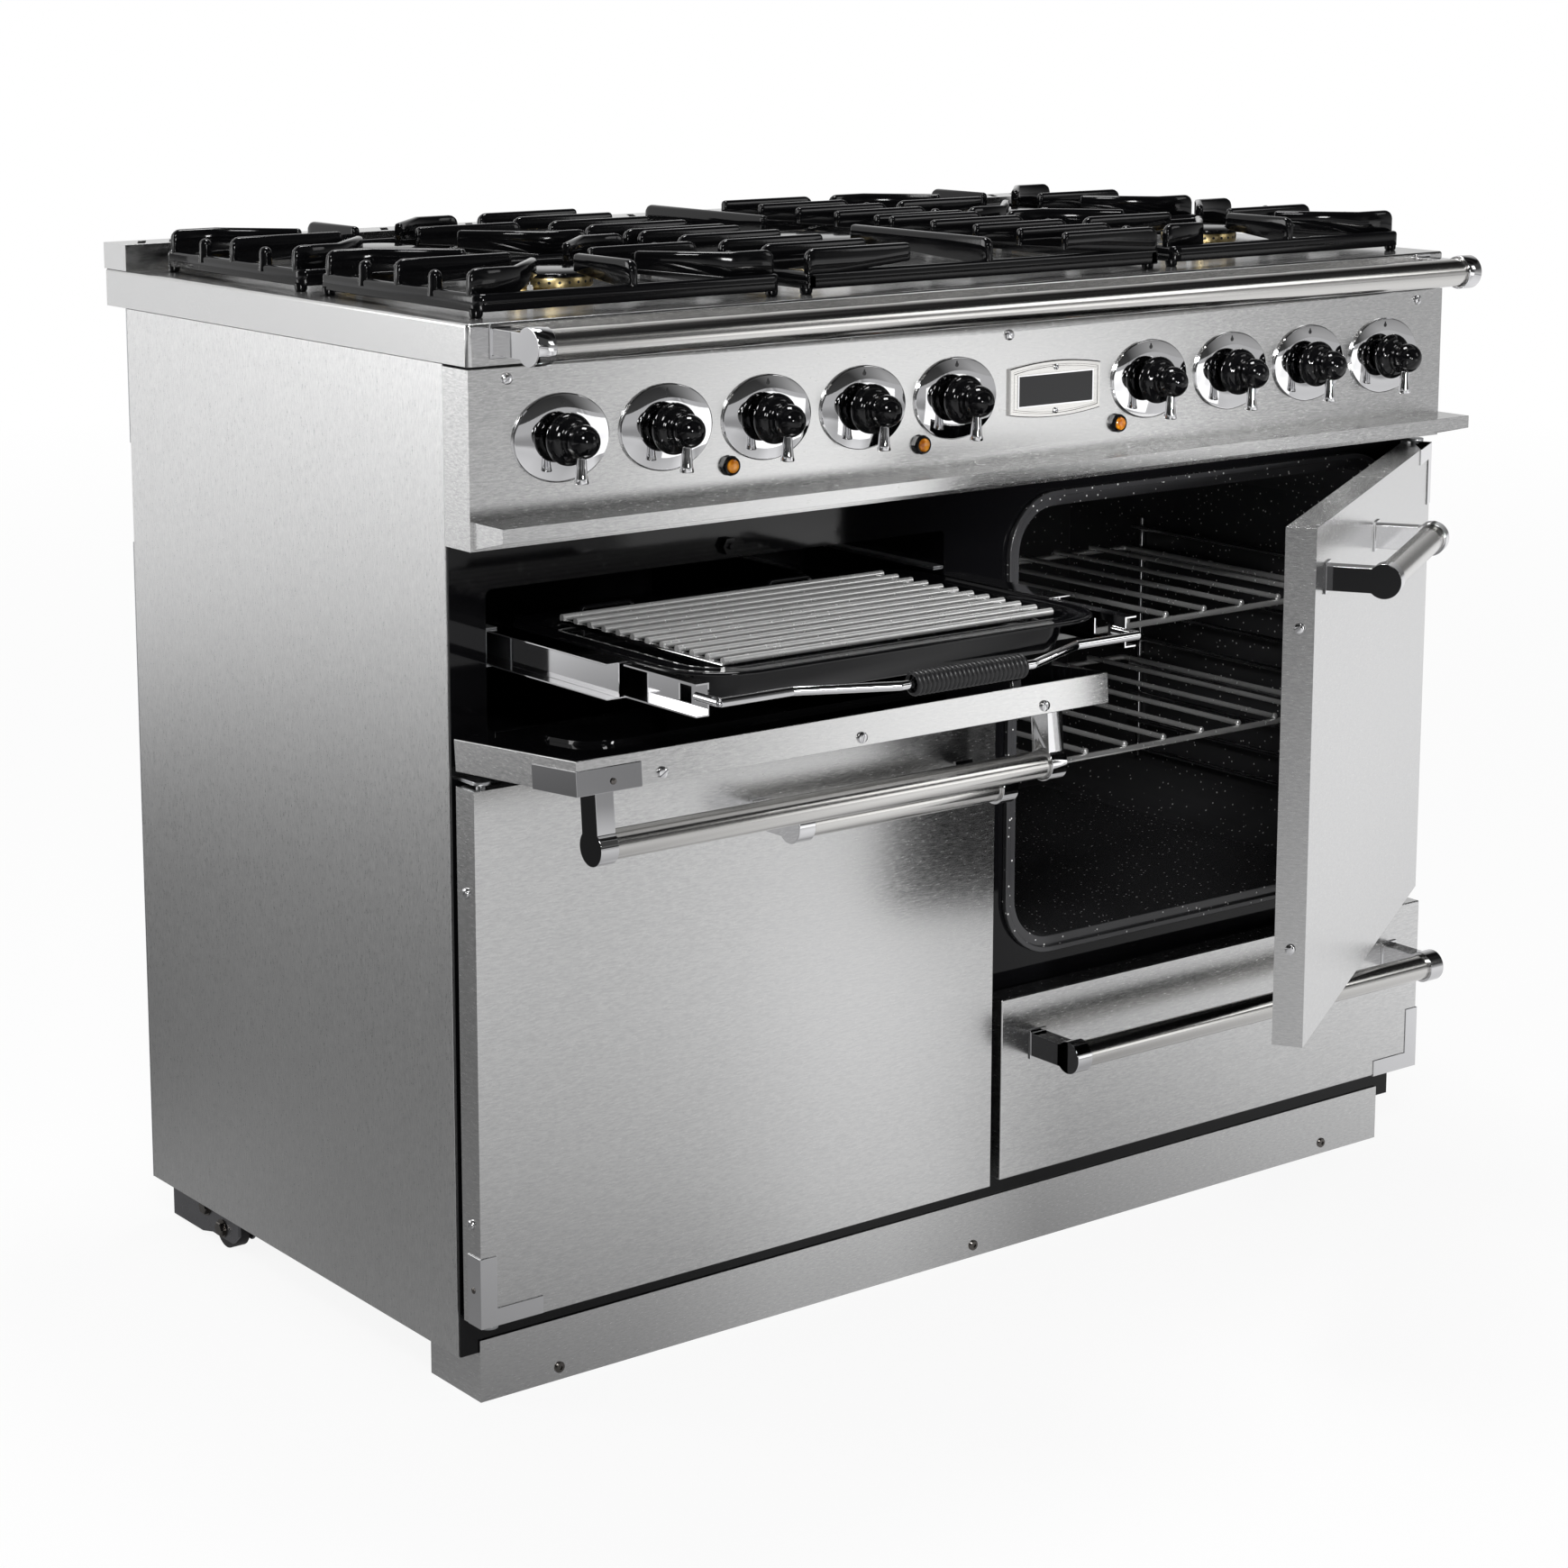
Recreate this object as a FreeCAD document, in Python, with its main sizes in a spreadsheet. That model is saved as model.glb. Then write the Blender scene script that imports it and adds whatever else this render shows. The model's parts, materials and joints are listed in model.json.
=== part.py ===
"""Range cooker, 1092 mm wide: FreeCAD macro, millimetres, +Z up, front towards -Y.

The origin is the middle of the plinth's floor flange: X = 0 halfway along the cooker,
Z = 0 on the floor.  Doors, drawer and grill stand as in the reference view.
"""
import FreeCAD
import Part
import math
import os

import Sketcher
from FreeCAD import Placement, Rotation, Vector

SIZES = {
    # outer casing
    "overall_width": 1092.0, "hob_level": 883.4, "lip_height": 33.0, "lip_depth": 603.0,
    "lip_corner": 4.0, "lip_round": 2.5, "sheet": 1.5, "seat_gap": 0.3, "overrun": 2.0,
    "vent_depth": 42.0, "vent_rise": 23.2, "vent_count": 34.0, "vent_slot": 8.0,
    "vent_slant": 14.0, "vent_margin": 8.0,
    "side_setback": 36.5, "side_back": 562.6, "side_bottom": 42.6, "side_top_gap": 0.3,
    "side_return": 14.0, "base_lift": 2.0, "base_flange": 20.0,
    "back_slot_count": 14.0, "back_slot_width": 6.0, "back_slot_height": 90.0,
    "back_slot_level": 640.0, "back_slot_span": 420.0,
    "plinth_setback": 33.0, "plinth_inset": 19.0, "plinth_height": 53.0,
    "plinth_side": 76.0, "plinth_flange": 24.0,
    # control panel
    "panel_bottom": 708.2, "panel_gap": 2.0, "panel_flange": 24.0, "panel_hole": 6.0,
    "knob_level": 790.0, "knob_pitch": 100.4, "left_knob_inset": 84.2,
    "right_knob_inset": 80.0, "bezel_half_width": 45.0, "bezel_half_height": 35.0,
    "bezel_thick": 2.5, "badge_width": 105.0, "badge_height": 49.0, "badge_end": 40.0,
    "badge_thick": 3.0, "badge_x": 52.0, "badge_recess_width": 82.0,
    "badge_recess_height": 25.0, "badge_recess": 1.2,
    "lamp_shift": 37.5, "lamp_level": 753.5, "lamp_radius": 6.8, "lamp_rim": 8.6,
    "lamp_rim_depth": 4.0, "lamp_depth": 7.0, "lamp_tail": 14.0, "lamp_neck": 6.0,
    "panel_screw_x": 511.0, "panel_screw_level": 839.6, "plinth_screw_x": 450.0,
    "plinth_screw_level": 11.0, "screw_head": 4.2, "screw_head_depth": 2.4,
    "screw_shank": 2.0, "screw_shank_depth": 8.0,
    "drip_level": 731.0, "drip_reach": 41.0, "drip_lip": 11.5, "drip_back": 21.4,
    "drip_inset": 3.0, "drip_fold": 6.0,
    # hand rail and handles
    "rail_radius": 12.7, "rail_cap": 15.3, "rail_reach": 51.0, "rail_half": 525.0,
    "rail_drop": 14.4, "bar_wall": 1.2, "bar_insert": 9.0, "bar_play": 0.05,
    "bracket_width": 17.0, "bracket_arm": 20.8, "bracket_foot": 1.6, "foot_spread": 3.0,
    "handle_radius": 11.8, "handle_cap": 14.6, "handle_reach": 49.0,
    "long_handle": 474.0, "short_handle": 237.0, "handle_drop": 47.0,
    "grill_handle_drop": 35.5, "left_handle_drop": 59.0, "right_handle_inset": 36.0,
    "left_handle_inset": 28.5, "cap_arm": 59.0, "cap_width": 15.0, "cap_thick": 1.0,
    # front frame, doors and drawer
    "frame_setback": 35.0, "frame_top_gap": 1.5, "door_proud": 1.2, "door_depth": 26.0,
    "core_border": 32.0,
    "door_edge": 0.7, "door_middle": 5.6, "left_door_bottom": 78.0,
    "left_door_top": 518.8, "right_door_bottom": 259.5, "right_door_top": 699.5,
    "grill_door_bottom": 529.8, "drawer_bottom": 80.8, "drawer_top": 248.0,
    "drawer_left": 3.0, "inner_press": 3.2, "press_inset": 42.0, "press_corner": 30.0,
    "pivot_in": 14.6, "pivot_back": 13.2, "pin_radius": 4.0, "pin_play": 0.06,
    "pin_length": 14.0, "hinge_plate": 3.0, "hinge_gap": 2.2, "hinge_half": 8.0,
    "arm_width": 14.0, "arm_inset": 30.3, "arm_half": 6.0, "arm_play": 0.5,
    "arm_pin": 3.5, "arm_pin_reach": 10.0, "arm_head_gap": 1.0,
    "right_door_open": 32.2, "grill_door_open": 85.4,
    "door_screw_low": 83.5, "door_screw_high": 84.0,
    # ovens and grill
    "flange_inset_x": 28.0, "flange_inset_low": 12.0, "flange_inset_high": 6.0,
    "flange_corner": 55.0, "mouth_inset": 14.0, "bead_width": 5.0, "bead_height": 4.0,
    "liner_depth": 434.0, "grill_half": 235.0, "grill_mouth_low": 556.0,
    "grill_mouth_high": 670.0, "grill_floor": 551.0, "grill_roof": 703.0,
    "mouth_corner": 6.0, "drawer_mouth_low": 88.0, "drawer_mouth_high": 240.0,
    "drawer_mouth_inset": 9.0, "inlet_radius": 52.0, "inlet_hole": 4.0,
    "ladder_rod": 2.6, "ladder_gap": 0.3, "ladder_front": 28.0, "ladder_back": 330.0,
    "ladder_pitch": 29.0, "ladder_rungs": 9.0, "rung_level": 58.6, "ladder_end": 10.0,
    "shelf_rod": 3.0, "shelf_wire": 2.2, "shelf_count": 9.0, "shelf_side": 2.0,
    "shelf_front": 25.0, "shelf_length": 320.0, "cover_radius": 72.0, "cover_depth": 30.0,
    "cover_slots": 5.0, "cover_pitch": 18.0, "cover_slot": 4.0,
    "element_radius": 4.0, "element_level": 690.0, "element_half": 180.0,
    "element_front": 80.0, "element_pitch": 84.0, "element_tail": 24.0,
    "fan_radius": 58.0, "fan_depth": 16.0, "fan_gap": 6.0, "fan_blades": 12.0,
    "fan_blade": 1.5, "fan_hub": 14.0, "fan_shaft": 4.0, "motor_radius": 34.0,
    "motor_flange": 50.0,
    "motor_flange_thick": 2.0, "motor_length": 30.0,
    # telescopic grill carriage
    "runner_level": 623.5, "outer_height": 31.0, "runner_sheet": 1.2, "runner_play": 0.3,
    "outer_reach": 11.0, "outer_length": 425.0, "mid_front": -128.0, "mid_length": 345.0,
    "mid_web": 12.5, "mid_width": 23.5, "inner_front": -222.0, "inner_length": 350.0,
    "inner_web": 26.4, "inner_reach": 12.0, "window_start": 20.0,
    "window_length": 16.0, "window_height": 13.0,
    "wire_radius": 3.6, "wire_reach": 14.0, "grip_reach": 48.0, "grip_half": 66.0,
    "wire_run": 75.0, "wire_low": 8.0, "grip_radius": 9.5, "grip_rib": 1.2,
    "grip_ribs": 12.0, "grip_length": 110.0,
    "pan_half": 209.5, "pan_front": -215.0, "pan_back": 75.0, "pan_corner": 55.0,
    "pan_sheet": 1.4, "pan_rim": 23.0, "pan_depth": 31.0, "pan_draft": 12.0,
    "pan_recess": 3.0, "rack_half": 166.0, "rack_count": 12.0, "rack_pitch": 19.5,
    "rack_rod": 3.1, "rack_rail": 2.4, "rack_leg": 1.9, "rack_rise": 3.6,
    "rack_drop": 4.2,
    "rack_front": -181.0, "rack_foot": 26.0,
    # drawer
    "box_inset": 24.0, "box_sheet": 1.2, "box_depth": 410.0, "box_low": 94.0,
    "box_high": 226.0, "track_reach": 9.0, "track_height": 26.0, "track_level": 160.0,
    "track_length": 424.0, "track_gap": 0.3, "track_foot": 16.0, "bar_thick": 9.0,
    # hob
    "well_radius": 66.0, "well_slope": 14.0, "well_depth": 5.5, "well_hole": 24.0,
    "burner_x": 370.0, "burner_front": 150.0, "burner_back": 420.0,
    "burner_middle": 285.0, "burner_radius": 37.0, "burner_body": 22.0,
    "burner_flange": 33.0, "burner_flange_thick": 2.6, "burner_neck": 27.0,
    "crown_low": 890.0, "crown_high": 901.0, "crown_inset": 1.5, "burner_tail": 20.0,
    "cap_rise": 6.5, "wok_extra": 18.0, "support_low": 888.0, "support_rail": 14.0,
    "support_high": 921.0, "rail_width": 9.0, "support_half_x": 148.0,
    "support_half_y": 121.0, "support_corner": 7.0, "fin_thick": 6.5, "fin_tip": 39.0,
    "fin_corner": 104.0, "fin_corner_y": 107.0, "fin_diagonal": 50.0, "fin_nose": 17.0,
    "fin_height": 20.0, "middle_sweep": 175.0,
    "fin_sweep": 105.0, "lug_radius": 5.5, "lug_rise": 9.0, "lug_y": 53.0,
    "foot_radius": 5.0, "support_step": 54.5, "middle_half_x": 198.0,
    "middle_front": 25.0, "middle_depth": 247.0, "middle_gap": 13.0, "middle_fin": 88.0,
    "middle_fins": 5.0, "middle_tip": 184.0, "support_front": 30.0,
    # gas and controls
    "gas_pipe": 9.0, "gas_pipe_y": 62.0, "gas_pipe_end": 490.0, "inlet_x": 508.0,
    "inlet_end": 588.0, "inlet_thread": 10.5, "inlet_thread_length": 18.0,
    "tap_radius": 12.0, "spindle_radius": 3.0, "spindle_play": 0.06,
    "spindle_reach": 24.0, "spindle_gap": 0.5, "switch_half": 17.0, "switch_depth": 34.0,
    # knobs
    "knob_gap": 0.4, "knob_neck": 13.0, "knob_skirt": 20.8, "knob_skirt_start": 5.0,
    "knob_skirt_end": 13.0, "knob_step": 17.5, "knob_step_end": 17.0,
    "knob_waist": 13.2, "knob_collar": 22.0, "knob_nose": 13.6, "knob_nose_at": 28.5,
    "lever_top": 3.9, "lever_foot": 5.8, "lever_end": 33.0, "lever_at": 26.0,
    # floor fittings
    "roller_radius": 19.0, "roller_width": 14.0, "roller_y": 462.0, "roller_inset": 27.0,
    "roller_bore": 5.0, "bracket_gap": 1.0, "bracket_sheet": 3.0, "bracket_front": 432.0,
    "bracket_back": 556.0, "bracket_low": 5.0, "foot_inset": 76.0, "foot_y": 120.0,
    "foot_disc": 19.0, "foot_disc_height": 8.0, "foot_stem": 5.0,
    "stud_level": 681.0, "stud_nut": 7.5, "stud_nut_depth": 6.0, "stud_radius": 2.6,
    "stud_length": 24.0,
}

doc = FreeCAD.newDocument("range_cooker")
sheet_object = doc.addObject("Spreadsheet::Sheet", "dims")


class Size:
    """A size that keeps the formula it came from, so one sum serves both uses."""

    def __init__(self, value, text):
        self.value = float(value)
        self.text = text

    def __add__(self, other):
        return mix(self, other, "+")

    def __radd__(self, other):
        return mix(other, self, "+")

    def __sub__(self, other):
        return mix(self, other, "-")

    def __rsub__(self, other):
        return mix(other, self, "-")

    def __mul__(self, other):
        return mix(self, other, "*")

    def __rmul__(self, other):
        return mix(other, self, "*")

    def __truediv__(self, other):
        return mix(self, other, "/")

    def __neg__(self):
        return mix(0, self, "-")


def as_size(number):
    return number if isinstance(number, Size) else Size(number, repr(number))


def mix(first, second, sign):
    first, second = as_size(first), as_size(second)
    results = {
        "+": first.value + second.value,
        "-": first.value - second.value,
        "*": first.value * second.value,
        "/": first.value / second.value if second.value else 0.0,
    }
    return Size(results[sign], "(%s %s %s)" % (first.text, sign, second.text))


def cosine(angle):
    return Size(math.cos(math.radians(angle.value)), "cos(%s)" % angle.text)


def sine(angle):
    return Size(math.sin(math.radians(angle.value)), "sin(%s)" % angle.text)


class Sizes:
    """The spreadsheet's cells as Size values."""


d = Sizes()
for row, (alias, number) in enumerate(SIZES.items(), start=1):
    sheet_object.set("A%d" % row, alias)
    sheet_object.set("B%d" % row, repr(number))
    sheet_object.setAlias("B%d" % row, alias)
    setattr(d, alias, Size(number, "dims." + alias))
doc.recompute()


def bind(item, name, size):
    """Set a property from a size's formula."""
    size = as_size(size)
    if "dims." in size.text:
        item.setExpression(name, size.text)
    elif "." not in name:
        setattr(item, name, size.value)


def place(item, x=0, y=0, z=0):
    bind(item, "Placement.Base.x", x)
    bind(item, "Placement.Base.y", y)
    bind(item, "Placement.Base.z", z)
    return item


def ordered(low, high):
    low, high = as_size(low), as_size(high)
    return (high, low) if high.value < low.value else (low, high)


def box(x0, x1, y0, y1, z0, z1):
    (x0, x1), (y0, y1), (z0, z1) = ordered(x0, x1), ordered(y0, y1), ordered(z0, z1)
    item = doc.addObject("Part::Box", "box")
    bind(item, "Length", x1 - x0)
    bind(item, "Width", y1 - y0)
    bind(item, "Height", z1 - z0)
    return place(item, x0, y0, z0)


TURNS = {
    "x": Rotation(Vector(0, 1, 0), 90),
    "y": Rotation(Vector(1, 0, 0), -90),
    "z": Rotation(),
}


def rod(axis, x, y, z, radius, length):
    """Cylinder from a point along an axis."""
    item = doc.addObject("Part::Cylinder", "rod")
    item.Placement = Placement(Vector(), TURNS[axis])
    bind(item, "Radius", radius)
    bind(item, "Height", length)
    return place(item, x, y, z)


def ball(x, y, z, radius):
    item = doc.addObject("Part::Sphere", "ball")
    bind(item, "Radius", radius)
    return place(item, x, y, z)


def fused(items):
    item = doc.addObject("Part::MultiFuse", "fused")
    item.Shapes = items
    item.Refine = True
    return item


def group(items):
    item = doc.addObject("Part::Compound", "group")
    item.Links = items
    return item


def cut(base, tools):
    item = doc.addObject("Part::Cut", "cut")
    item.Base = base
    item.Tool = tools[0] if len(tools) == 1 else fused(tools)
    item.Refine = True
    return item


def polygon(sketch, points):
    """Closed line loop with every corner tied to its two coordinates."""
    first = sketch.GeometryCount
    points = [(as_size(a), as_size(b)) for a, b in points]
    corners = [Vector(a.value, b.value, 0) for a, b in points]
    for number, corner in enumerate(corners):
        following = corners[(number + 1) % len(corners)]
        sketch.addGeometry(Part.LineSegment(corner, following), False)
    for number in range(len(corners)):
        here = first + number
        following = first + (number + 1) % len(corners)
        sketch.addConstraint(Sketcher.Constraint("Coincident", here, 2, following, 1))
    for number, (a, b) in enumerate(points):
        pin_down(sketch, first + number, a, b)


def pin_down(sketch, line, a, b, end=1):
    for kind, size in (("DistanceX", a), ("DistanceY", b)):
        rule = sketch.addConstraint(
            Sketcher.Constraint(kind, -1, 1, line, end, size.value)
        )
        if "dims." in size.text:
            sketch.setExpression("Constraints[%d]" % rule, size.text)


def circle(sketch, a, b, radius):
    a, b, radius = as_size(a), as_size(b), as_size(radius)
    curve = Part.Circle(Vector(a.value, b.value, 0), Vector(0, 0, 1), radius.value)
    index = sketch.addGeometry(curve, False)
    pin_down(sketch, index, a, b, end=3)
    rule = sketch.addConstraint(Sketcher.Constraint("Radius", index, radius.value))
    sketch.setExpression("Constraints[%d]" % rule, radius.text)


def rounded(sketch, a0, a1, b0, b1, radius):
    """Rectangle with round corners: four lines joined by four arcs."""
    first = sketch.GeometryCount
    (a0, a1), (b0, b1), radius = ordered(a0, a1), ordered(b0, b1), as_size(radius)
    low_a, high_a, low_b, high_b = a0 + radius, a1 - radius, b0 + radius, b1 - radius
    lines = [
        ((low_a, b0), (high_a, b0)),
        ((a1, low_b), (a1, high_b)),
        ((high_a, b1), (low_a, b1)),
        ((a0, high_b), (a0, low_b)),
    ]
    centres = [(high_a, low_b), (high_a, high_b), (low_a, high_b), (low_a, low_b)]
    for start, stop in lines:
        start, stop = [Vector(a.value, b.value, 0) for a, b in (start, stop)]
        sketch.addGeometry(Part.LineSegment(start, stop), False)
    for quarter, (a, b) in enumerate(centres):
        curve = Part.Circle(Vector(a.value, b.value, 0), Vector(0, 0, 1), radius.value)
        start = (quarter - 1) * math.pi / 2
        sketch.addGeometry(Part.ArcOfCircle(curve, start, start + math.pi / 2), False)
    for quarter in range(4):
        line, arc = first + quarter, first + 4 + quarter
        following = first + (quarter + 1) % 4
        sketch.addConstraint(Sketcher.Constraint("Coincident", line, 2, arc, 1))
        sketch.addConstraint(Sketcher.Constraint("Coincident", arc, 2, following, 1))
        rule = sketch.addConstraint(Sketcher.Constraint("Radius", arc, radius.value))
        sketch.setExpression("Constraints[%d]" % rule, radius.text)
    for quarter, ends in enumerate(lines):
        for end, (a, b) in enumerate(ends, start=1):
            pin_down(sketch, first + quarter, a, b, end)


def new_sketch(body, role, name="outline"):
    sketch = body.newObject("Sketcher::SketchObject", name)
    plane = [part for part in body.Origin.OriginFeatures if part.Role == role][0]
    sketch.AttachmentSupport = [(plane, "")]
    sketch.MapMode = "FlatFace"
    return sketch


ROLES = {"z": "XY_Plane", "y": "XZ_Plane", "x": "YZ_Plane"}
DRAW = {"polygon": polygon, "circle": circle, "rounded": rounded}


def plate(axis, loops, start, thick, draft=None):
    """Pad of a drawn outline, from start along an axis."""
    body = doc.addObject("PartDesign::Body", "plate")
    sketch = new_sketch(body, ROLES[axis])
    for kind, values in loops:
        DRAW[kind](sketch, *values) if kind != "polygon" else polygon(sketch, values)
    pad = body.newObject("PartDesign::Pad", "pad")
    pad.Profile = sketch
    pad.Reversed = axis == "y"
    bind(pad, "Length", thick)
    if draft is not None:
        bind(pad, "TaperAngle", draft)
    body.Tip = pad
    places = {"x": (start, 0, 0), "y": (0, start, 0), "z": (0, 0, start)}
    return place(body, *places[axis])


def turned(points, angle=360):
    """Solid of revolution about Z from (radius, height) points."""
    body = doc.addObject("PartDesign::Body", "turned")
    sketch = new_sketch(body, "XZ_Plane")
    polygon(sketch, points)
    revolution = body.newObject("PartDesign::Revolution", "revolution")
    revolution.Profile = sketch
    revolution.ReferenceAxis = (sketch, ["V_Axis"])
    revolution.Angle = angle
    body.Tip = revolution
    return body


def softened(body, radius, wanted):
    """Fillet the edges of a body's last feature that the test picks."""
    doc.recompute()
    base = body.Tip
    names = [
        "Edge%d" % (number + 1)
        for number, edge in enumerate(base.Shape.Edges)
        if wanted(edge)
    ]
    fillet = body.newObject("PartDesign::Fillet", "fillet")
    fillet.Base = (base, names)
    bind(fillet, "Radius", radius)
    body.Tip = fillet
    return body


def piped(points, radius, first_axis):
    """Round bar along a level line through (x, y) points."""
    body = doc.addObject("PartDesign::Body", "piped")
    path = new_sketch(body, "XY_Plane", "path")
    points = [(as_size(a), as_size(b)) for a, b in points]
    for (a0, b0), (a1, b1) in zip(points, points[1:]):
        start, stop = Vector(a0.value, b0.value, 0), Vector(a1.value, b1.value, 0)
        path.addGeometry(Part.LineSegment(start, stop), False)
    for number in range(len(points) - 2):
        path.addConstraint(Sketcher.Constraint("Coincident", number, 2, number + 1, 1))
    for number, (a, b) in enumerate(points[:-1]):
        pin_down(path, number, a, b)
    pin_down(path, len(points) - 2, *points[-1], end=2)
    ring = new_sketch(body, ROLES[first_axis], "section")
    start_a, start_b = points[0]
    if first_axis == "y":
        circle(ring, start_a, 0, radius)
        bind(ring, "AttachmentOffset.Base.z", -start_b)
    else:
        circle(ring, start_b, 0, radius)
        bind(ring, "AttachmentOffset.Base.z", start_a)
    pipe = body.newObject("PartDesign::AdditivePipe", "pipe")
    pipe.Profile = ring
    pipe.Spine = (path, ["Edge%d" % (n + 1) for n in range(len(points) - 1)])
    pipe.Transition = "Round corner"
    body.Tip = pipe
    return body


def swung(items, axis, a, b, angle):
    """Group turned about an axis through the point (a, b) of the plane across it."""
    item = group(items)
    turn, side = cosine(angle), sine(angle)
    first = a - a * turn + b * side
    second = b - a * side - b * turn
    if axis == "z":
        item.Placement = Placement(Vector(), Rotation(Vector(0, 0, 1), angle.value))
        place(item, first, second, 0)
    else:
        item.Placement = Placement(Vector(), Rotation(Vector(1, 0, 0), angle.value))
        place(item, 0, first, second)
    item.setExpression("Placement.Rotation.Angle", angle.text)
    return item


nodes = []


def node(label, item):
    item.Label = label
    nodes.append(item)
    return item


# shared lines of the casing
half = d.overall_width / 2
front = -(d.plinth_setback + d.plinth_flange / 2)
back = front + d.lip_depth
lip_under = d.hob_level - d.lip_height
frame_y = front + d.frame_setback
frame_back = frame_y + d.sheet
side_front = front + d.side_setback
side_rear = front + d.side_back
side_top = lip_under - d.side_top_gap
inner_half = half - d.sheet
base_low = d.side_bottom + d.base_lift
base_top = base_low + d.sheet
door_face = front + d.door_proud
door_rear = door_face + d.door_depth
left_edge = -half + d.door_edge
right_edge = half - d.door_edge
left_door_right = -d.door_middle - d.drawer_left
liner_rear = frame_y + d.liner_depth
left_middle = (left_edge - d.door_middle) / 2
right_middle = (d.drawer_left + right_edge) / 2
burners = [
    (side * d.burner_x, front + y)
    for side in (-1, 1)
    for y in (d.burner_front, d.burner_back)
]
wok = (as_size(0) * d.burner_x, front + d.burner_middle)
fascia_levels = (d.panel_bottom, lip_under - d.panel_gap)
knob_x = [d.left_knob_inset - half + number * d.knob_pitch for number in range(5)]
knob_x += [half - d.right_knob_inset - number * d.knob_pitch for number in (3, 2, 1, 0)]
GAS_KNOBS = (0, 1, 6, 7, 8)
lamp_x = [knob_x[number] - d.lamp_shift for number in (2, 4, 5)]
pivot_y = door_rear - d.pivot_back
left_pivot_x = left_edge + d.pivot_in
right_pivot_x = right_edge - d.pivot_in
grill_pivot_z = d.grill_door_bottom + d.pivot_in
grill_door_top = d.right_door_top
panel_rear = front + d.sheet
hole_radius = d.screw_shank + d.pin_play


def upper(height):
    """Test for edges wholly in the upper half of a feature."""
    return lambda edge: min(v.Z for v in edge.Vertexes) > height.value / 2


def cone(x, y, z, low_radius, high_radius, height):
    item = doc.addObject("Part::Cone", "cone")
    bind(item, "Radius1", low_radius)
    bind(item, "Radius2", high_radius)
    bind(item, "Height", height)
    return place(item, x, y, z)


def screw(x, face, z):
    """Round-headed screw in a face that looks towards the front."""
    return fused([
        rod("y", x, face - d.screw_head_depth, z, d.screw_head, d.screw_head_depth),
        rod("y", x, face, z, d.screw_shank, d.screw_shank_depth),
    ])


def side_screw(edge, side, y, z):
    """Round-headed screw in a side edge of a door."""
    outward = edge + side * d.screw_head_depth
    inward = edge - side * d.screw_shank_depth
    low, high = ordered(edge, outward)
    inner, outer = ordered(inward, edge)
    return fused([
        rod("x", low, y, z, d.screw_head, high - low),
        rod("x", inner, y, z, d.screw_shank, outer - inner),
    ])


def shell_ring(axis, x0, x1, z0, z1, corner, wall, start, depth):
    """Tube of rounded oblong section: the outline and the same one inset."""
    return plate(axis, [
        ("rounded", (x0, x1, z0, z1, corner)),
        ("rounded", (x0 + wall, x1 - wall, z0 + wall, z1 - wall, corner - wall)),
    ], start, depth)


def railing(x0, x1, face, z, radius, cap, reach):
    """Tubular bar and its two keyhole brackets, in front of a face."""
    y = face - reach
    width, play = d.bracket_width, d.bar_play
    bar_start = x0 + width - d.bar_insert
    bar_length = x1 - x0 - 2 * (width - d.bar_insert)
    bar = cut(rod("x", bar_start, y, z, radius, bar_length), [
        rod("x", bar_start, y, z, radius - d.bar_wall, bar_length),
    ])
    brackets = []
    for start in (x0, x1 - width):
        arm = d.bracket_arm / 2
        spread = d.foot_spread
        solid = fused([
            rod("x", start, y, z, cap, width),
            box(start, start + width, y, face, z - arm, z + arm),
            box(start - spread / 2, start + width + spread / 2, face - d.bracket_foot, face,
                z - arm - spread, z + arm + spread),
        ])
        bore = start + width - d.bar_insert if start is x0 else start
        brackets.append(cut(solid, [rod("x", bore, y, z, radius + play, d.bar_insert)]))
    return bar, brackets


# hob
hob_shell = plate("z", [("rounded", (-half, half, front, back, d.lip_corner))],
                  lip_under, d.lip_height)
softened(hob_shell, d.lip_round, upper(d.lip_height))
hollow = box(-inner_half, inner_half, front + d.sheet, back - d.sheet, lip_under,
             d.hob_level - d.sheet)
dishes, wells = [], []
rings, caps = [], []
for number, (x, y) in enumerate(burners + [wok]):
    extra = d.wok_extra if number == 4 else as_size(0)
    floor = d.hob_level - d.well_depth
    foot = d.well_radius - d.well_slope + extra
    dishes.append(cone(x, y, floor - d.sheet, foot, d.well_radius + extra, d.well_depth))
    wells.append(cone(x, y, floor, foot, d.well_radius + extra, d.well_depth))
    wells.append(rod("z", x, y, floor - d.sheet - d.overrun, d.well_hole,
                     d.sheet + 2 * d.overrun))
    tail = floor - d.burner_tail
    flange = floor + d.burner_flange_thick
    crown = d.burner_radius - d.crown_inset + extra
    ring = turned([
        (0, tail), (d.burner_body, tail), (d.burner_body, floor),
        (d.burner_flange + extra, floor), (d.burner_flange + extra, flange),
        (d.burner_neck + extra, flange), (d.burner_neck + extra, d.crown_low),
        (crown, d.crown_low), (crown, d.crown_high), (0, d.crown_high),
    ])
    rings.append(place(ring, x, y, 0))
    rim = d.burner_radius + extra
    top = d.crown_high + d.cap_rise
    caps.append(place(turned([
        (0, d.crown_high), (rim, d.crown_high), (rim, d.crown_high + d.cap_rise / 2),
        (rim - d.crown_inset, top - d.crown_inset / 2), (rim - 2 * d.crown_inset, top),
        (0, top),
    ]), x, y, 0))
vent_front = back - d.vent_depth
node("hob_top", cut(fused([cut(hob_shell, [hollow])] + dishes), wells))
node("burner_rings", group(rings))
node("burner_caps", group(caps))

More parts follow.
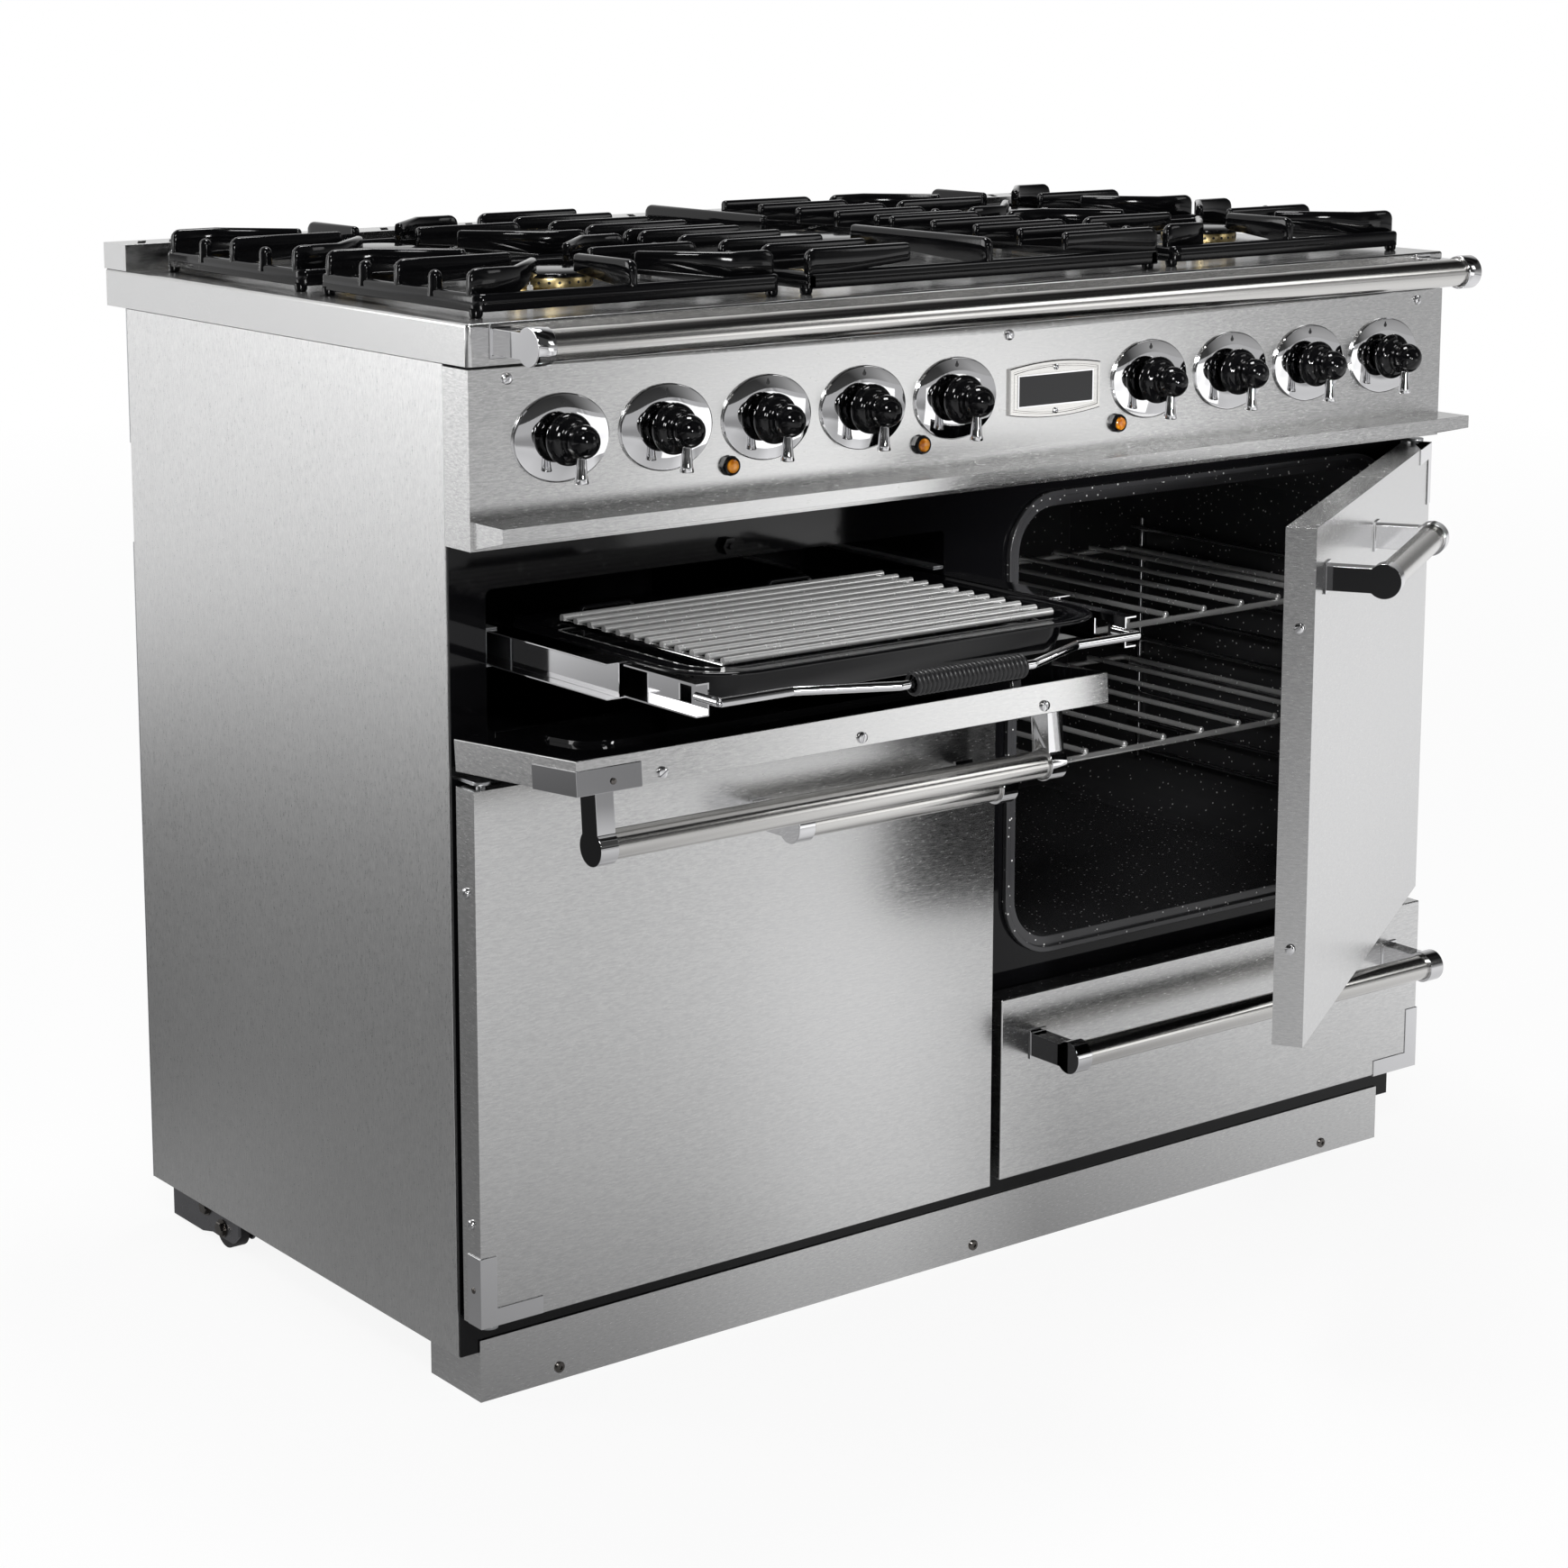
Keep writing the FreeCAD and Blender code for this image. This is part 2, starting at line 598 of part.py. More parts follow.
vent = plate("z", [("polygon", [
    (-half, vent_front), (half, vent_front), (half, back), (-half, back),
])], d.hob_level, d.vent_rise)
inside = new_sketch(vent, "XY_Plane", "inside")
polygon(inside, [
    (-inner_half, vent_front + d.sheet), (inner_half, vent_front + d.sheet),
    (inner_half, back - d.sheet), (-inner_half, back - d.sheet),
])
inside_cut = vent.newObject("PartDesign::Pocket", "inside_cut")
inside_cut.Profile = inside
inside_cut.Reversed = True
bind(inside_cut, "Length", d.vent_rise - d.sheet)
slot = new_sketch(vent, "XY_Plane", "slot")
slot_start = -half + d.vent_margin + d.vent_slot
slot_low, slot_high = vent_front + d.vent_margin, back - d.vent_margin
polygon(slot, [
    (slot_start, slot_low), (slot_start + d.vent_slot, slot_low),
    (slot_start + d.vent_slot + d.vent_slant, slot_high),
    (slot_start + d.vent_slant, slot_high),
])
slot_cut = vent.newObject("PartDesign::Pocket", "slot_cut")
slot_cut.Profile = slot
slot_cut.Reversed = True
slot_cut.Type = "ThroughAll"
slots = vent.newObject("PartDesign::LinearPattern", "slots")
slots.Originals = [slot_cut]
slots.Direction = (slot, ["H_Axis"])
bind(slots, "Length", d.overall_width - 2 * (d.vent_margin + d.vent_slot)
     - d.vent_slot - d.vent_slant)
slots.setExpression("Occurrences", "dims.vent_count")
vent.Tip = slots
node("rear_vent", vent)

# casing
sides = []
for side in (-1, 1):
    outer, inner = side * half, side * inner_half
    fold = side * (half - d.side_return)
    sides.append(plate("z", [("polygon", [
        (outer, side_front), (outer, side_rear), (fold, side_rear),
        (fold, side_rear - d.sheet), (inner, side_rear - d.sheet),
        (inner, side_front + d.sheet), (fold, side_front + d.sheet), (fold, side_front),
    ])], d.side_bottom, side_top - d.side_bottom))
node("side_panels", group(sides))
tray_front = side_front + d.sheet + d.seat_gap
tray_half = inner_half
node("base_tray", plate("y", [("polygon", [
    (-tray_half, base_low), (tray_half, base_low), (tray_half, base_top + d.base_flange),
    (tray_half - d.sheet, base_top + d.base_flange), (tray_half - d.sheet, base_top),
    (-tray_half + d.sheet, base_top), (-tray_half + d.sheet, base_top + d.base_flange),
    (-tray_half, base_top + d.base_flange),
])], tray_front, side_rear - d.sheet - d.seat_gap - tray_front))
back_sheet = box(-half, half, side_rear, side_rear + d.sheet, d.side_bottom, side_top)
back_cuts = [rod("y", d.inlet_x, side_rear - d.overrun, d.knob_level,
                 d.gas_pipe + d.seat_gap, d.sheet + 2 * d.overrun)]
slot_pitch = d.back_slot_span / d.back_slot_count
for side in (-1, 1):
    for number in range(int(SIZES["back_slot_count"])):
        start = side * d.burner_x - d.back_slot_span / 2 + number * slot_pitch
        back_cuts.append(box(start, start + d.back_slot_width, side_rear - d.overrun,
                             side_rear + d.sheet + d.overrun, d.back_slot_level,
                             d.back_slot_level + d.back_slot_height))
node("back_panel", cut(back_sheet, back_cuts))

plinth_half = half - d.plinth_inset
plinth_front = front + d.plinth_setback
plinth_rear = plinth_front + d.sheet
plinth_side_top = d.side_bottom - d.seat_gap
plinth = fused([
    box(-plinth_half, plinth_half, plinth_front, plinth_rear, 0, d.plinth_height),
    box(-plinth_half, plinth_half, plinth_front, plinth_front + d.plinth_flange, 0,
        d.sheet),
] + [
    box(side * plinth_half, side * (plinth_half - d.sheet), plinth_front,
        plinth_front + d.plinth_side, 0, plinth_side_top)
    for side in (-1, 1)
])
plinth_screws = [side * d.plinth_screw_x for side in (-1, 0, 1)]
node("plinth", cut(plinth, [
    rod("y", x, plinth_front - d.overrun, d.plinth_screw_level, hole_radius,
        d.sheet + 2 * d.overrun)
    for x in plinth_screws
]))

# control panel
low, high = fascia_levels
flange_rear = front + d.panel_flange
panel = fused([plate("x", [("polygon", [
    (front, low), (flange_rear, low), (flange_rear, low + d.sheet),
    (panel_rear, low + d.sheet), (panel_rear, high - d.sheet),
    (flange_rear, high - d.sheet), (flange_rear, high), (front, high),
])], -half, d.overall_width)] + [
    box(side * half, side * inner_half, front, side_front, low, high)
    for side in (-1, 1)
])
panel_screws = [side * d.panel_screw_x for side in (-1, 0, 1)]
through = d.sheet + 2 * d.overrun
panel_cuts = [rod("y", x, front - d.overrun, d.knob_level, d.panel_hole, through)
              for x in knob_x]
panel_cuts += [rod("y", x, front - d.overrun, d.lamp_level, d.lamp_neck + d.pin_play,
                   through) for x in lamp_x]
panel_cuts += [rod("y", x, front - d.overrun, d.panel_screw_level, hole_radius, through)
               for x in panel_screws]
node("control_panel", cut(panel, panel_cuts))

drip_half = half - d.drip_inset
drip_top, drip_front = d.drip_level, front - d.drip_reach
drip_low = drip_top - d.drip_lip
drip = [plate("x", [("polygon", [
    (front, drip_top), (drip_front, drip_top), (drip_front, drip_low),
    (drip_front + d.drip_fold, drip_low), (drip_front + d.drip_fold, drip_low + d.sheet),
    (drip_front + d.sheet, drip_low + d.sheet), (drip_front + d.sheet, drip_top - d.sheet),
    (front - d.sheet, drip_top - d.sheet), (front - d.sheet, drip_top - d.drip_back),
    (front, drip_top - d.drip_back),
])], -drip_half, 2 * drip_half)]
for start in (-drip_half, drip_half - d.sheet):
    drip.append(plate("x", [("polygon", [
        (front, drip_top), (drip_front, drip_top), (drip_front, drip_low),
        (front, drip_top - d.drip_back),
    ])], start, d.sheet))
node("drip_rail", fused(drip))

rail_z = d.hob_level - d.rail_drop
bar, brackets = railing(-d.rail_half, d.rail_half, front, rail_z, d.rail_radius,
                        d.rail_cap, d.rail_reach)
node("hand_rail", bar)
node("rail_brackets", group(brackets))
screws = [screw(x, front, d.panel_screw_level) for x in panel_screws]
screws += [screw(x, plinth_front, d.plinth_screw_level) for x in plinth_screws]
node("trim_screws", group(screws))


def bowed(sketch, a0, a1, b0, b1, rise):
    """Rectangle with its two long edges bowed outwards by arcs."""
    width = a1 - a0
    radius = width * width / (8 * rise) + rise / 2
    middle = (a0 + a1) / 2
    opening = math.asin(width.value / 2 / radius.value)
    up = math.pi / 2
    top = Vector(middle.value, (b1 + rise - radius).value, 0)
    low_centre = Vector(middle.value, (b0 - rise + radius).value, 0)
    turn = Vector(0, 0, 1)
    corners = [Vector(a.value, b.value, 0) for a, b in ((a0, b0), (a0, b1), (a1, b1), (a1, b0))]
    sketch.addGeometry(Part.LineSegment(corners[1], corners[0]), False)
    sketch.addGeometry(Part.ArcOfCircle(
        Part.Circle(low_centre, turn, radius.value), 3 * up - opening, 3 * up + opening), False)
    sketch.addGeometry(Part.LineSegment(corners[3], corners[2]), False)
    sketch.addGeometry(Part.ArcOfCircle(
        Part.Circle(top, turn, radius.value), up - opening, up + opening), False)
    for first in range(4):
        sketch.addConstraint(
            Sketcher.Constraint("Coincident", first, 2, (first + 1) % 4, 1))
    for line, end, a, b in ((0, 1, a0, b1), (0, 2, a0, b0), (2, 1, a1, b0), (2, 2, a1, b1)):
        pin_down(sketch, line, a, b, end)
    for arc in (1, 3):
        rule = sketch.addConstraint(Sketcher.Constraint("Radius", arc, radius.value))
        sketch.setExpression("Constraints[%d]" % rule, radius.text)


DRAW["bowed"] = bowed
badge_left = d.badge_x - d.badge_width / 2
badge = plate("y", [("bowed", (
    badge_left, badge_left + d.badge_width, d.knob_level - d.badge_end / 2,
    d.knob_level + d.badge_end / 2, (d.badge_height - d.badge_end) / 2,
))], front - d.badge_thick, d.badge_thick)
node("badge_plate", cut(badge, [box(
    d.badge_x - d.badge_recess_width / 2, d.badge_x + d.badge_recess_width / 2,
    front - d.badge_thick, front - d.badge_thick + d.badge_recess,
    d.knob_level - d.badge_recess_height / 2, d.knob_level + d.badge_recess_height / 2,
)]))

bezels, lamps, valves = [], [], []
tap_length = d.gas_pipe_y - d.gas_pipe - d.seat_gap - d.sheet
bezel_face = front - d.bezel_thick
for number, x in enumerate(knob_x):
    ring = doc.addObject("Part::Ellipse", "oval")
    ring.Placement = Placement(Vector(), Rotation(Vector(1, 0, 0), 90))
    bind(ring, "MajorRadius", d.bezel_half_width)
    bind(ring, "MinorRadius", d.bezel_half_height)
    place(ring, x, front, d.knob_level)
    disc = doc.addObject("Part::Extrusion", "disc")
    disc.Base = ring
    disc.DirMode = "Custom"
    disc.Dir = Vector(0, -1, 0)
    bind(disc, "LengthFwd", d.bezel_thick)
    disc.Solid = True
    bezels.append(cut(disc, [rod("y", x, bezel_face - d.overrun, d.knob_level,
                                 d.panel_hole, d.bezel_thick + 2 * d.overrun)]))
    if number in GAS_KNOBS:
        solid = rod("y", x, panel_rear, d.knob_level, d.tap_radius, tap_length)
    else:
        reach = d.switch_half
        solid = box(x - reach, x + reach, panel_rear, panel_rear + d.switch_depth,
                    d.knob_level - reach, d.knob_level + reach)
    valves.append(cut(solid, [rod("y", x, panel_rear - d.overrun, d.knob_level,
                                  d.spindle_radius + d.spindle_play,
                                  d.spindle_reach + d.overrun)]))
for x in lamp_x:
    hexagon = [
        (x + math.cos(math.pi * share / 3) * d.lamp_rim,
         d.lamp_level + math.sin(math.pi * share / 3) * d.lamp_rim)
        for share in range(6)
    ]
    lamps.append(fused([
        plate("y", [("polygon", hexagon)], front - d.lamp_rim_depth, d.lamp_rim_depth),
        rod("y", x, front - d.lamp_depth, d.lamp_level, d.lamp_radius, d.lamp_depth),
        rod("y", x, front, d.lamp_level, d.lamp_neck, d.lamp_tail),
    ]))
node("knob_bezels", group(bezels))
node("indicator_lamps", group(lamps))
node("control_valves", group(valves))
pipe_y = front + d.gas_pipe_y
pipe = piped([(-d.gas_pipe_end, pipe_y), (d.inlet_x, pipe_y),
              (d.inlet_x, front + d.inlet_end)], d.gas_pipe, "x")
bind(pipe, "Placement.Base.z", d.knob_level)
node("gas_pipework", fused([pipe, rod(
    "y", d.inlet_x, front + d.inlet_end - d.inlet_thread_length, d.knob_level,
    d.inlet_thread, d.inlet_thread_length)]))

# front frame, oven and grill linings
left_span = (left_edge, left_door_right)
right_span = (d.drawer_left, right_edge)
ovens = [
    (left_span, (d.left_door_bottom, d.left_door_top)),
    (right_span, (d.right_door_bottom, d.right_door_top)),
]
flange_y = frame_y - d.sheet
frame_holes, liners, ladders, shelves, motors, fans = [], [], [], [], [], []
SHELF_RUNGS = (3, 7)


def inset(spans, side, low_edge, high_edge):
    (x0, x1), (z0, z1) = spans
    return x0 + side, x1 - side, z0 + low_edge, z1 - high_edge


for spans in ovens:
    x0, x1, z0, z1 = inset(spans, d.flange_inset_x, d.flange_inset_low, d.flange_inset_high)
    mouth = d.mouth_inset
    corner = d.flange_corner - mouth
    m0, m1, n0, n1 = x0 + mouth, x1 - mouth, z0 + mouth, z1 - mouth
    wall, slack = d.sheet, d.sheet + d.seat_gap
    frame_holes.append(plate("y", [("rounded", (
        m0 - slack, m1 + slack, n0 - slack, n1 + slack, corner + slack,
    ))], frame_y - d.overrun, d.sheet + 2 * d.overrun))
    centre_x, centre_z = (m0 + m1) / 2, (n0 + n1) / 2
    flange = plate("y", [
        ("rounded", (x0, x1, z0, z1, d.flange_corner)), ("rounded", (m0, m1, n0, n1, corner)),
    ], flange_y, d.sheet)
    bead = shell_ring("y", x0, x1, z0, z1, d.flange_corner, d.bead_width,
                      flange_y - d.bead_height, d.bead_height)
    tube = shell_ring("y", m0 - wall, m1 + wall, n0 - wall, n1 + wall, corner + wall, wall,
                      flange_y, liner_rear + wall - flange_y)
    rear = plate("y", [("rounded", (m0, m1, n0, n1, corner))], liner_rear, wall)
    cover = turned([
        (0, d.cover_depth - wall), (d.cover_radius - wall, d.cover_depth - wall),
        (d.cover_radius - wall, 0), (d.cover_radius, 0), (d.cover_radius, d.cover_depth),
        (0, d.cover_depth),
    ])
    cover.Placement = Placement(Vector(), Rotation(Vector(1, 0, 0), 90))
    place(cover, centre_x, liner_rear, centre_z)
    openings = [rod("y", centre_x, liner_rear - d.overrun, centre_z,
                    d.fan_shaft + d.pin_play, wall + 2 * d.overrun)]
    for number in range(int(SIZES["cover_slots"])):
        step = number - (SIZES["cover_slots"] - 1) / 2
        z = centre_z + step * d.cover_pitch
        reach = d.cover_radius - abs(step) * d.cover_pitch / 2 - d.cover_pitch
        openings.append(box(
            centre_x - reach, centre_x + reach, liner_rear - d.cover_depth - d.overrun,
            liner_rear - d.cover_depth + wall + d.overrun, z - d.cover_slot / 2,
            z + d.cover_slot / 2,
        ))
    liners.append(cut(fused([flange, bead, tube, rear, cover]), openings))

    first_rung = n0 + d.rung_level
    rung_span = (d.ladder_rungs - 1) * d.ladder_pitch
    side_step = 1.7 * d.ladder_rod
    for side, edge in ((1, m0), (-1, m1)):
        post_x = edge + side * (d.ladder_rod + d.ladder_gap)
        rung_x = post_x + side * side_step
        bars = [
            rod("z", post_x, frame_y + y, first_rung - d.ladder_end, d.ladder_rod,
                rung_span + 2 * d.ladder_end)
            for y in (d.ladder_front + d.ladder_end, d.ladder_back - d.ladder_end)
        ]
        bars += [
            rod("y", rung_x, frame_y + d.ladder_front, first_rung + number * d.ladder_pitch,
                d.ladder_rod, d.ladder_back - d.ladder_front)
            for number in range(int(SIZES["ladder_rungs"]))
        ]
        ladders.append(fused(bars))
    shelf_inset = 2 * d.ladder_gap + 2 * d.ladder_rod + d.shelf_rod
    for rung in SHELF_RUNGS:
        z = first_rung + rung * d.ladder_pitch + d.ladder_rod + d.ladder_gap + d.shelf_rod
        low_x, high_x = m0 + shelf_inset, m1 - shelf_inset
        y = frame_y + d.shelf_front
        rods = [rod("y", x, y - d.shelf_rod, z, d.shelf_rod, d.shelf_length)
                for x in (low_x, high_x)]
        rods += [rod("x", low_x, start, z, d.shelf_rod, high_x - low_x)
                 for start in (y, y + d.shelf_length - 2 * d.shelf_rod)]
        pitch = (high_x - low_x) / (d.shelf_count + 1)
        wire_z = z + d.shelf_rod / 2 + d.shelf_wire / 2
        rods += [rod("y", low_x + (number + 1) * pitch, y, wire_z, d.shelf_wire,
                     d.shelf_length - 2 * d.shelf_rod)
                 for number in range(int(SIZES["shelf_count"]))]
        shelves.append(fused(rods))

    fan_y = liner_rear - d.fan_gap - d.fan_depth
    blades = []
    for number in range(int(SIZES["fan_blades"])):
        turn = 2 * math.pi * number / SIZES["fan_blades"]
        along, across = (math.cos(turn), math.sin(turn)), (-math.sin(turn), math.cos(turn))
        corners = [(d.fan_radius / 2, -1), (d.fan_radius, -1), (d.fan_radius, 1),
                   (d.fan_radius / 2, 1)]
        blades.append(("polygon", [
            (centre_x + r * along[0] + d.fan_blade / 2 * side * across[0],
             centre_z + r * along[1] + d.fan_blade / 2 * side * across[1])
            for r, side in corners
        ]))
    fans.append(fused([
        plate("y", blades, fan_y, d.fan_depth),
        rod("y", centre_x, fan_y + d.fan_depth - d.fan_blade, centre_z, d.fan_radius,
            d.fan_blade),
        rod("y", centre_x, fan_y, centre_z, d.fan_hub, d.fan_depth),
        rod("y", centre_x, fan_y, centre_z, d.fan_shaft,
            d.fan_depth + d.fan_gap + wall + d.motor_length),
    ]))
    motor_y = liner_rear + wall
    motors.append(cut(fused([
        rod("y", centre_x, motor_y, centre_z, d.motor_flange, d.motor_flange_thick),
        rod("y", centre_x, motor_y, centre_z, d.motor_radius, d.motor_length + d.overrun),
    ]), [rod("y", centre_x, motor_y - d.overrun, centre_z, d.fan_shaft + d.pin_play,
             d.motor_length + d.overrun + d.seat_gap)]))

grill_low_x, grill_high_x = left_middle - d.grill_half, left_middle + d.grill_half
frame_holes.append(plate("y", [("rounded", (
    grill_low_x, grill_high_x, d.grill_mouth_low, d.grill_mouth_high, d.mouth_corner,
))], frame_y - d.overrun, d.sheet + 2 * d.overrun))
frame_holes.append(plate("y", [("rounded", (
    d.drawer_left + d.drawer_mouth_inset, right_edge - d.drawer_mouth_inset,
    d.drawer_mouth_low, d.drawer_mouth_high, d.mouth_corner,
))], frame_y - d.overrun, d.sheet + 2 * d.overrun))
stud_hexagon = [
    (left_middle + math.cos(math.pi * share / 3) * d.stud_nut,
     d.stud_level + math.sin(math.pi * share / 3) * d.stud_nut)
    for share in range(6)
]
frame_half = inner_half - d.seat_gap
frame_sheet = cut(box(-frame_half, frame_half, frame_y, frame_back, d.side_bottom,
                      d.panel_bottom + d.panel_flange), frame_holes)
node("front_frame", fused([
    frame_sheet,
    plate("y", [("polygon", stud_hexagon)], frame_y - d.stud_nut_depth, d.stud_nut_depth),
    rod("y", left_middle, frame_y - d.stud_nut_depth - d.stud_radius, d.stud_level,
        d.stud_radius, d.stud_length),
]))
node("oven_liners", group(liners))
node("shelf_ladders", group(ladders))
node("oven_shelves", group(shelves))
element_x = [left_middle + (number - 1.5) * d.element_pitch for number in range(4)]
grill_rear = frame_back + d.liner_depth
element_front = frame_y + d.element_front
element_back = grill_rear - d.element_front
grill_box = cut(box(
    grill_low_x - d.sheet, grill_high_x + d.sheet, frame_back, grill_rear + d.sheet,
    d.grill_floor - d.sheet, d.grill_roof + d.sheet,
), [
    box(grill_low_x, grill_high_x, frame_back - d.overrun, grill_rear, d.grill_floor,
        d.grill_roof),
] + [
    rod("y", x, grill_rear - d.overrun, d.element_level, d.element_radius + d.seat_gap,
        d.sheet + 2 * d.overrun)
    for x in (element_x[0], element_x[3])
])
node("grill_liner", grill_box)
element = piped([
    (element_x[0], grill_rear + d.element_tail), (element_x[0], element_front),
    (element_x[1], element_front), (element_x[1], element_back),
    (element_x[2], element_back), (element_x[2], element_front),
    (element_x[3], element_front), (element_x[3], grill_rear + d.element_tail),
], d.element_radius, "y")
bind(element, "Placement.Base.z", d.element_level)
node("grill_element", element)
node("fan_left", fans[0])
node("fan_right", fans[1])
node("fan_motors", group(motors))

# hinges
hinges = []
for x, low_z, high_z in (
    (left_pivot_x, d.left_door_bottom, d.left_door_top),
    (right_pivot_x, d.right_door_bottom, d.right_door_top),
):
    for up, edge in ((1, high_z), (-1, low_z)):
        near = edge + up * d.hinge_gap
        z0, z1 = ordered(near, near + up * d.hinge_plate)
        pin_low, pin_high = ordered(edge - up * d.pin_length, near + up * d.hinge_plate)
        hinges.append(fused([
            box(x - d.hinge_half, x + d.hinge_half, pivot_y, frame_y, z0, z1),
            rod("z", x, pivot_y, z0, d.hinge_half, z1 - z0),
            rod("z", x, pivot_y, pin_low, d.pin_radius, pin_high - pin_low),
        ]))
arm_x = (left_edge + d.arm_inset, left_door_right - d.arm_inset)
for x in arm_x:
    start = x - d.arm_width / 2
    hinges.append(fused([
        rod("x", start, pivot_y, grill_pivot_z, d.arm_half, d.arm_width),
        box(start, start + d.arm_width, pivot_y, frame_y, grill_pivot_z - d.arm_half,
            grill_pivot_z + d.arm_half),
        rod("x", start - d.arm_pin_reach, pivot_y, grill_pivot_z, d.arm_pin,
            d.arm_width + 2 * d.arm_pin_reach),
    ]))
node("door_hinges", group(hinges))


def door(x0, x1, z0, z1, tools, pressed=True):
    """Folded outer tray and the insulated inner panel that fills it."""
    skin_y = door_face + d.sheet
    a0, a1, b0, b1 = x0 + d.sheet, x1 - d.sheet, z0 + d.sheet, z1 - d.sheet
    skin = cut(box(x0, x1, door_face, door_rear, z0, z1), [
        box(a0, a1, skin_y, door_rear + d.overrun, b0, b1),
    ] + [make() for make in tools])
    core = box(a0, a1, skin_y, door_rear, b0, b1)
    border = d.core_border
    core = cut(core, [box(a0 + border, a1 - border, skin_y - d.overrun, door_rear - d.sheet,
                          b0 + border, b1 - border)])
    if pressed:
        core = fused([core, plate("y", [("rounded", (
            x0 + d.press_inset, x1 - d.press_inset, z0 + d.press_inset,
            z1 - d.press_inset, d.press_corner,
        ))], door_rear, d.inner_press)])
    if tools:
        core = cut(core, [make() for make in tools])
    return skin, core


def corner_cap(x, z, out_x, out_z, folded=False):
    """Thin L-shaped cap on a door's corner, bent round its side and, where folded, its end."""
    arm, width, thick = d.cap_arm, d.cap_width, d.cap_thick
    inner_x, inner_z = x - out_x * arm, z - out_z * arm
    step_x, step_z = x - out_x * width, z - out_z * width
    edge = x + out_x * thick
    leaf_rear = door_rear - d.cap_width / 2
    end_leaf = [box(inner_x, edge, door_face - thick, leaf_rear,
                    z, z + out_z * thick)] if folded else []
    return fused(end_leaf + [
        plate("y", [("polygon", [
            (edge, z), (edge, inner_z), (step_x, inner_z), (step_x, step_z),
            (inner_x, step_z), (inner_x, z),
        ])], door_face - thick, thick),
        box(x, edge, door_face - thick, leaf_rear, z, inner_z),
    ])


def pin_hole(x, edge, up):
    """Maker of the blind hole for a hinge pin in a door's end."""
    depth = d.pin_length + d.hinge_plate / 2
    low_z, high_z = ordered(edge - up * depth, edge + up * d.overrun)
    return lambda: rod("z", x, pivot_y, low_z, d.pin_radius + d.pin_play, high_z - low_z)


def side_hole(edge, side, z):
    """Maker of the hole for a screw in a door's side."""
    inner, outer = ordered(edge - side * (d.screw_shank_depth + d.seat_gap),
                           edge + side * d.overrun)
    return lambda: rod("x", inner, screw_y, z, hole_radius, outer - inner)


screw_y = (door_face + door_rear) / 2

# left oven door
screw_levels = (d.left_door_top - d.door_screw_low, d.left_door_bottom + d.door_screw_high)
tools = [pin_hole(left_pivot_x, d.left_door_top, 1),
         pin_hole(left_pivot_x, d.left_door_bottom, -1)]
tools += [side_hole(left_edge, -1, z) for z in screw_levels]
skin, core = door(left_edge, left_door_right, d.left_door_bottom, d.left_door_top, tools)
node("left_door_skin", skin)
node("left_door_liner", core)
handle_end = left_door_right - d.left_handle_inset
bar, brackets = railing(handle_end - d.short_handle, handle_end, door_face,
                        d.left_door_top - d.left_handle_drop, d.handle_radius,
                        d.handle_cap, d.handle_reach)
node("left_door_trim", group([bar] + brackets + [
    corner_cap(left_edge, d.left_door_bottom, -1, -1),
] + [side_screw(left_edge, -1, screw_y, z) for z in screw_levels]))

# right oven door, part open
screw_levels = (d.right_door_top - d.door_screw_low, d.right_door_bottom + d.door_screw_high)
tools = [pin_hole(right_pivot_x, d.right_door_top, 1),
         pin_hole(right_pivot_x, d.right_door_bottom, -1)]
tools += [side_hole(d.drawer_left, -1, z) for z in screw_levels]
skin, core = door(d.drawer_left, right_edge, d.right_door_bottom, d.right_door_top, tools)
handle_start = d.drawer_left + d.right_handle_inset
bar, brackets = railing(handle_start, handle_start + d.short_handle, door_face,
                        d.right_door_top - d.handle_drop, d.handle_radius,
                        d.handle_cap, d.handle_reach)
right_trim = [bar] + brackets + [corner_cap(right_edge, d.right_door_top, 1, 1)]
right_trim += [side_screw(d.drawer_left, -1, screw_y, z) for z in screw_levels]
opened = -d.right_door_open
for label, items in (("right_door_skin", [skin]), ("right_door_liner", [core]),
                     ("right_door_trim", right_trim)):
    node(label, swung(items, "z", right_pivot_x, pivot_y, d.right_door_open))


# grill door, let down
def notch(x):
    """Maker of the corner pocket that a hinge arm turns in."""
    reach = d.arm_width / 2 + d.arm_play
    return lambda: box(x - reach, x + reach, door_face + d.sheet, door_rear + d.overrun,
                       d.grill_door_bottom - d.overrun,
                       grill_pivot_z + d.arm_half + d.arm_head_gap)


def arm_hole(x):
    reach = d.arm_width / 2 + d.arm_pin_reach + d.seat_gap
    return lambda: rod("x", x - reach, pivot_y, grill_pivot_z, d.arm_pin + d.pin_play,
                       2 * reach)


tools = [notch(x) for x in arm_x] + [arm_hole(x) for x in arm_x]
skin, core = door(left_edge, left_door_right, d.grill_door_bottom, grill_door_top, tools)
bar, brackets = railing(left_middle - d.long_handle / 2, left_middle + d.long_handle / 2,
                        door_face, grill_door_top - d.grill_handle_drop,
                        d.handle_radius, d.handle_cap, d.handle_reach)
grill_trim = [bar] + brackets + [corner_cap(left_edge, grill_door_top, -1, 1, True)]
for label, items in (("grill_door_skin", [skin]), ("grill_door_liner", [core]),
                     ("grill_door_trim", grill_trim)):
    node(label, swung(items, "x", pivot_y, grill_pivot_z, d.grill_door_open))

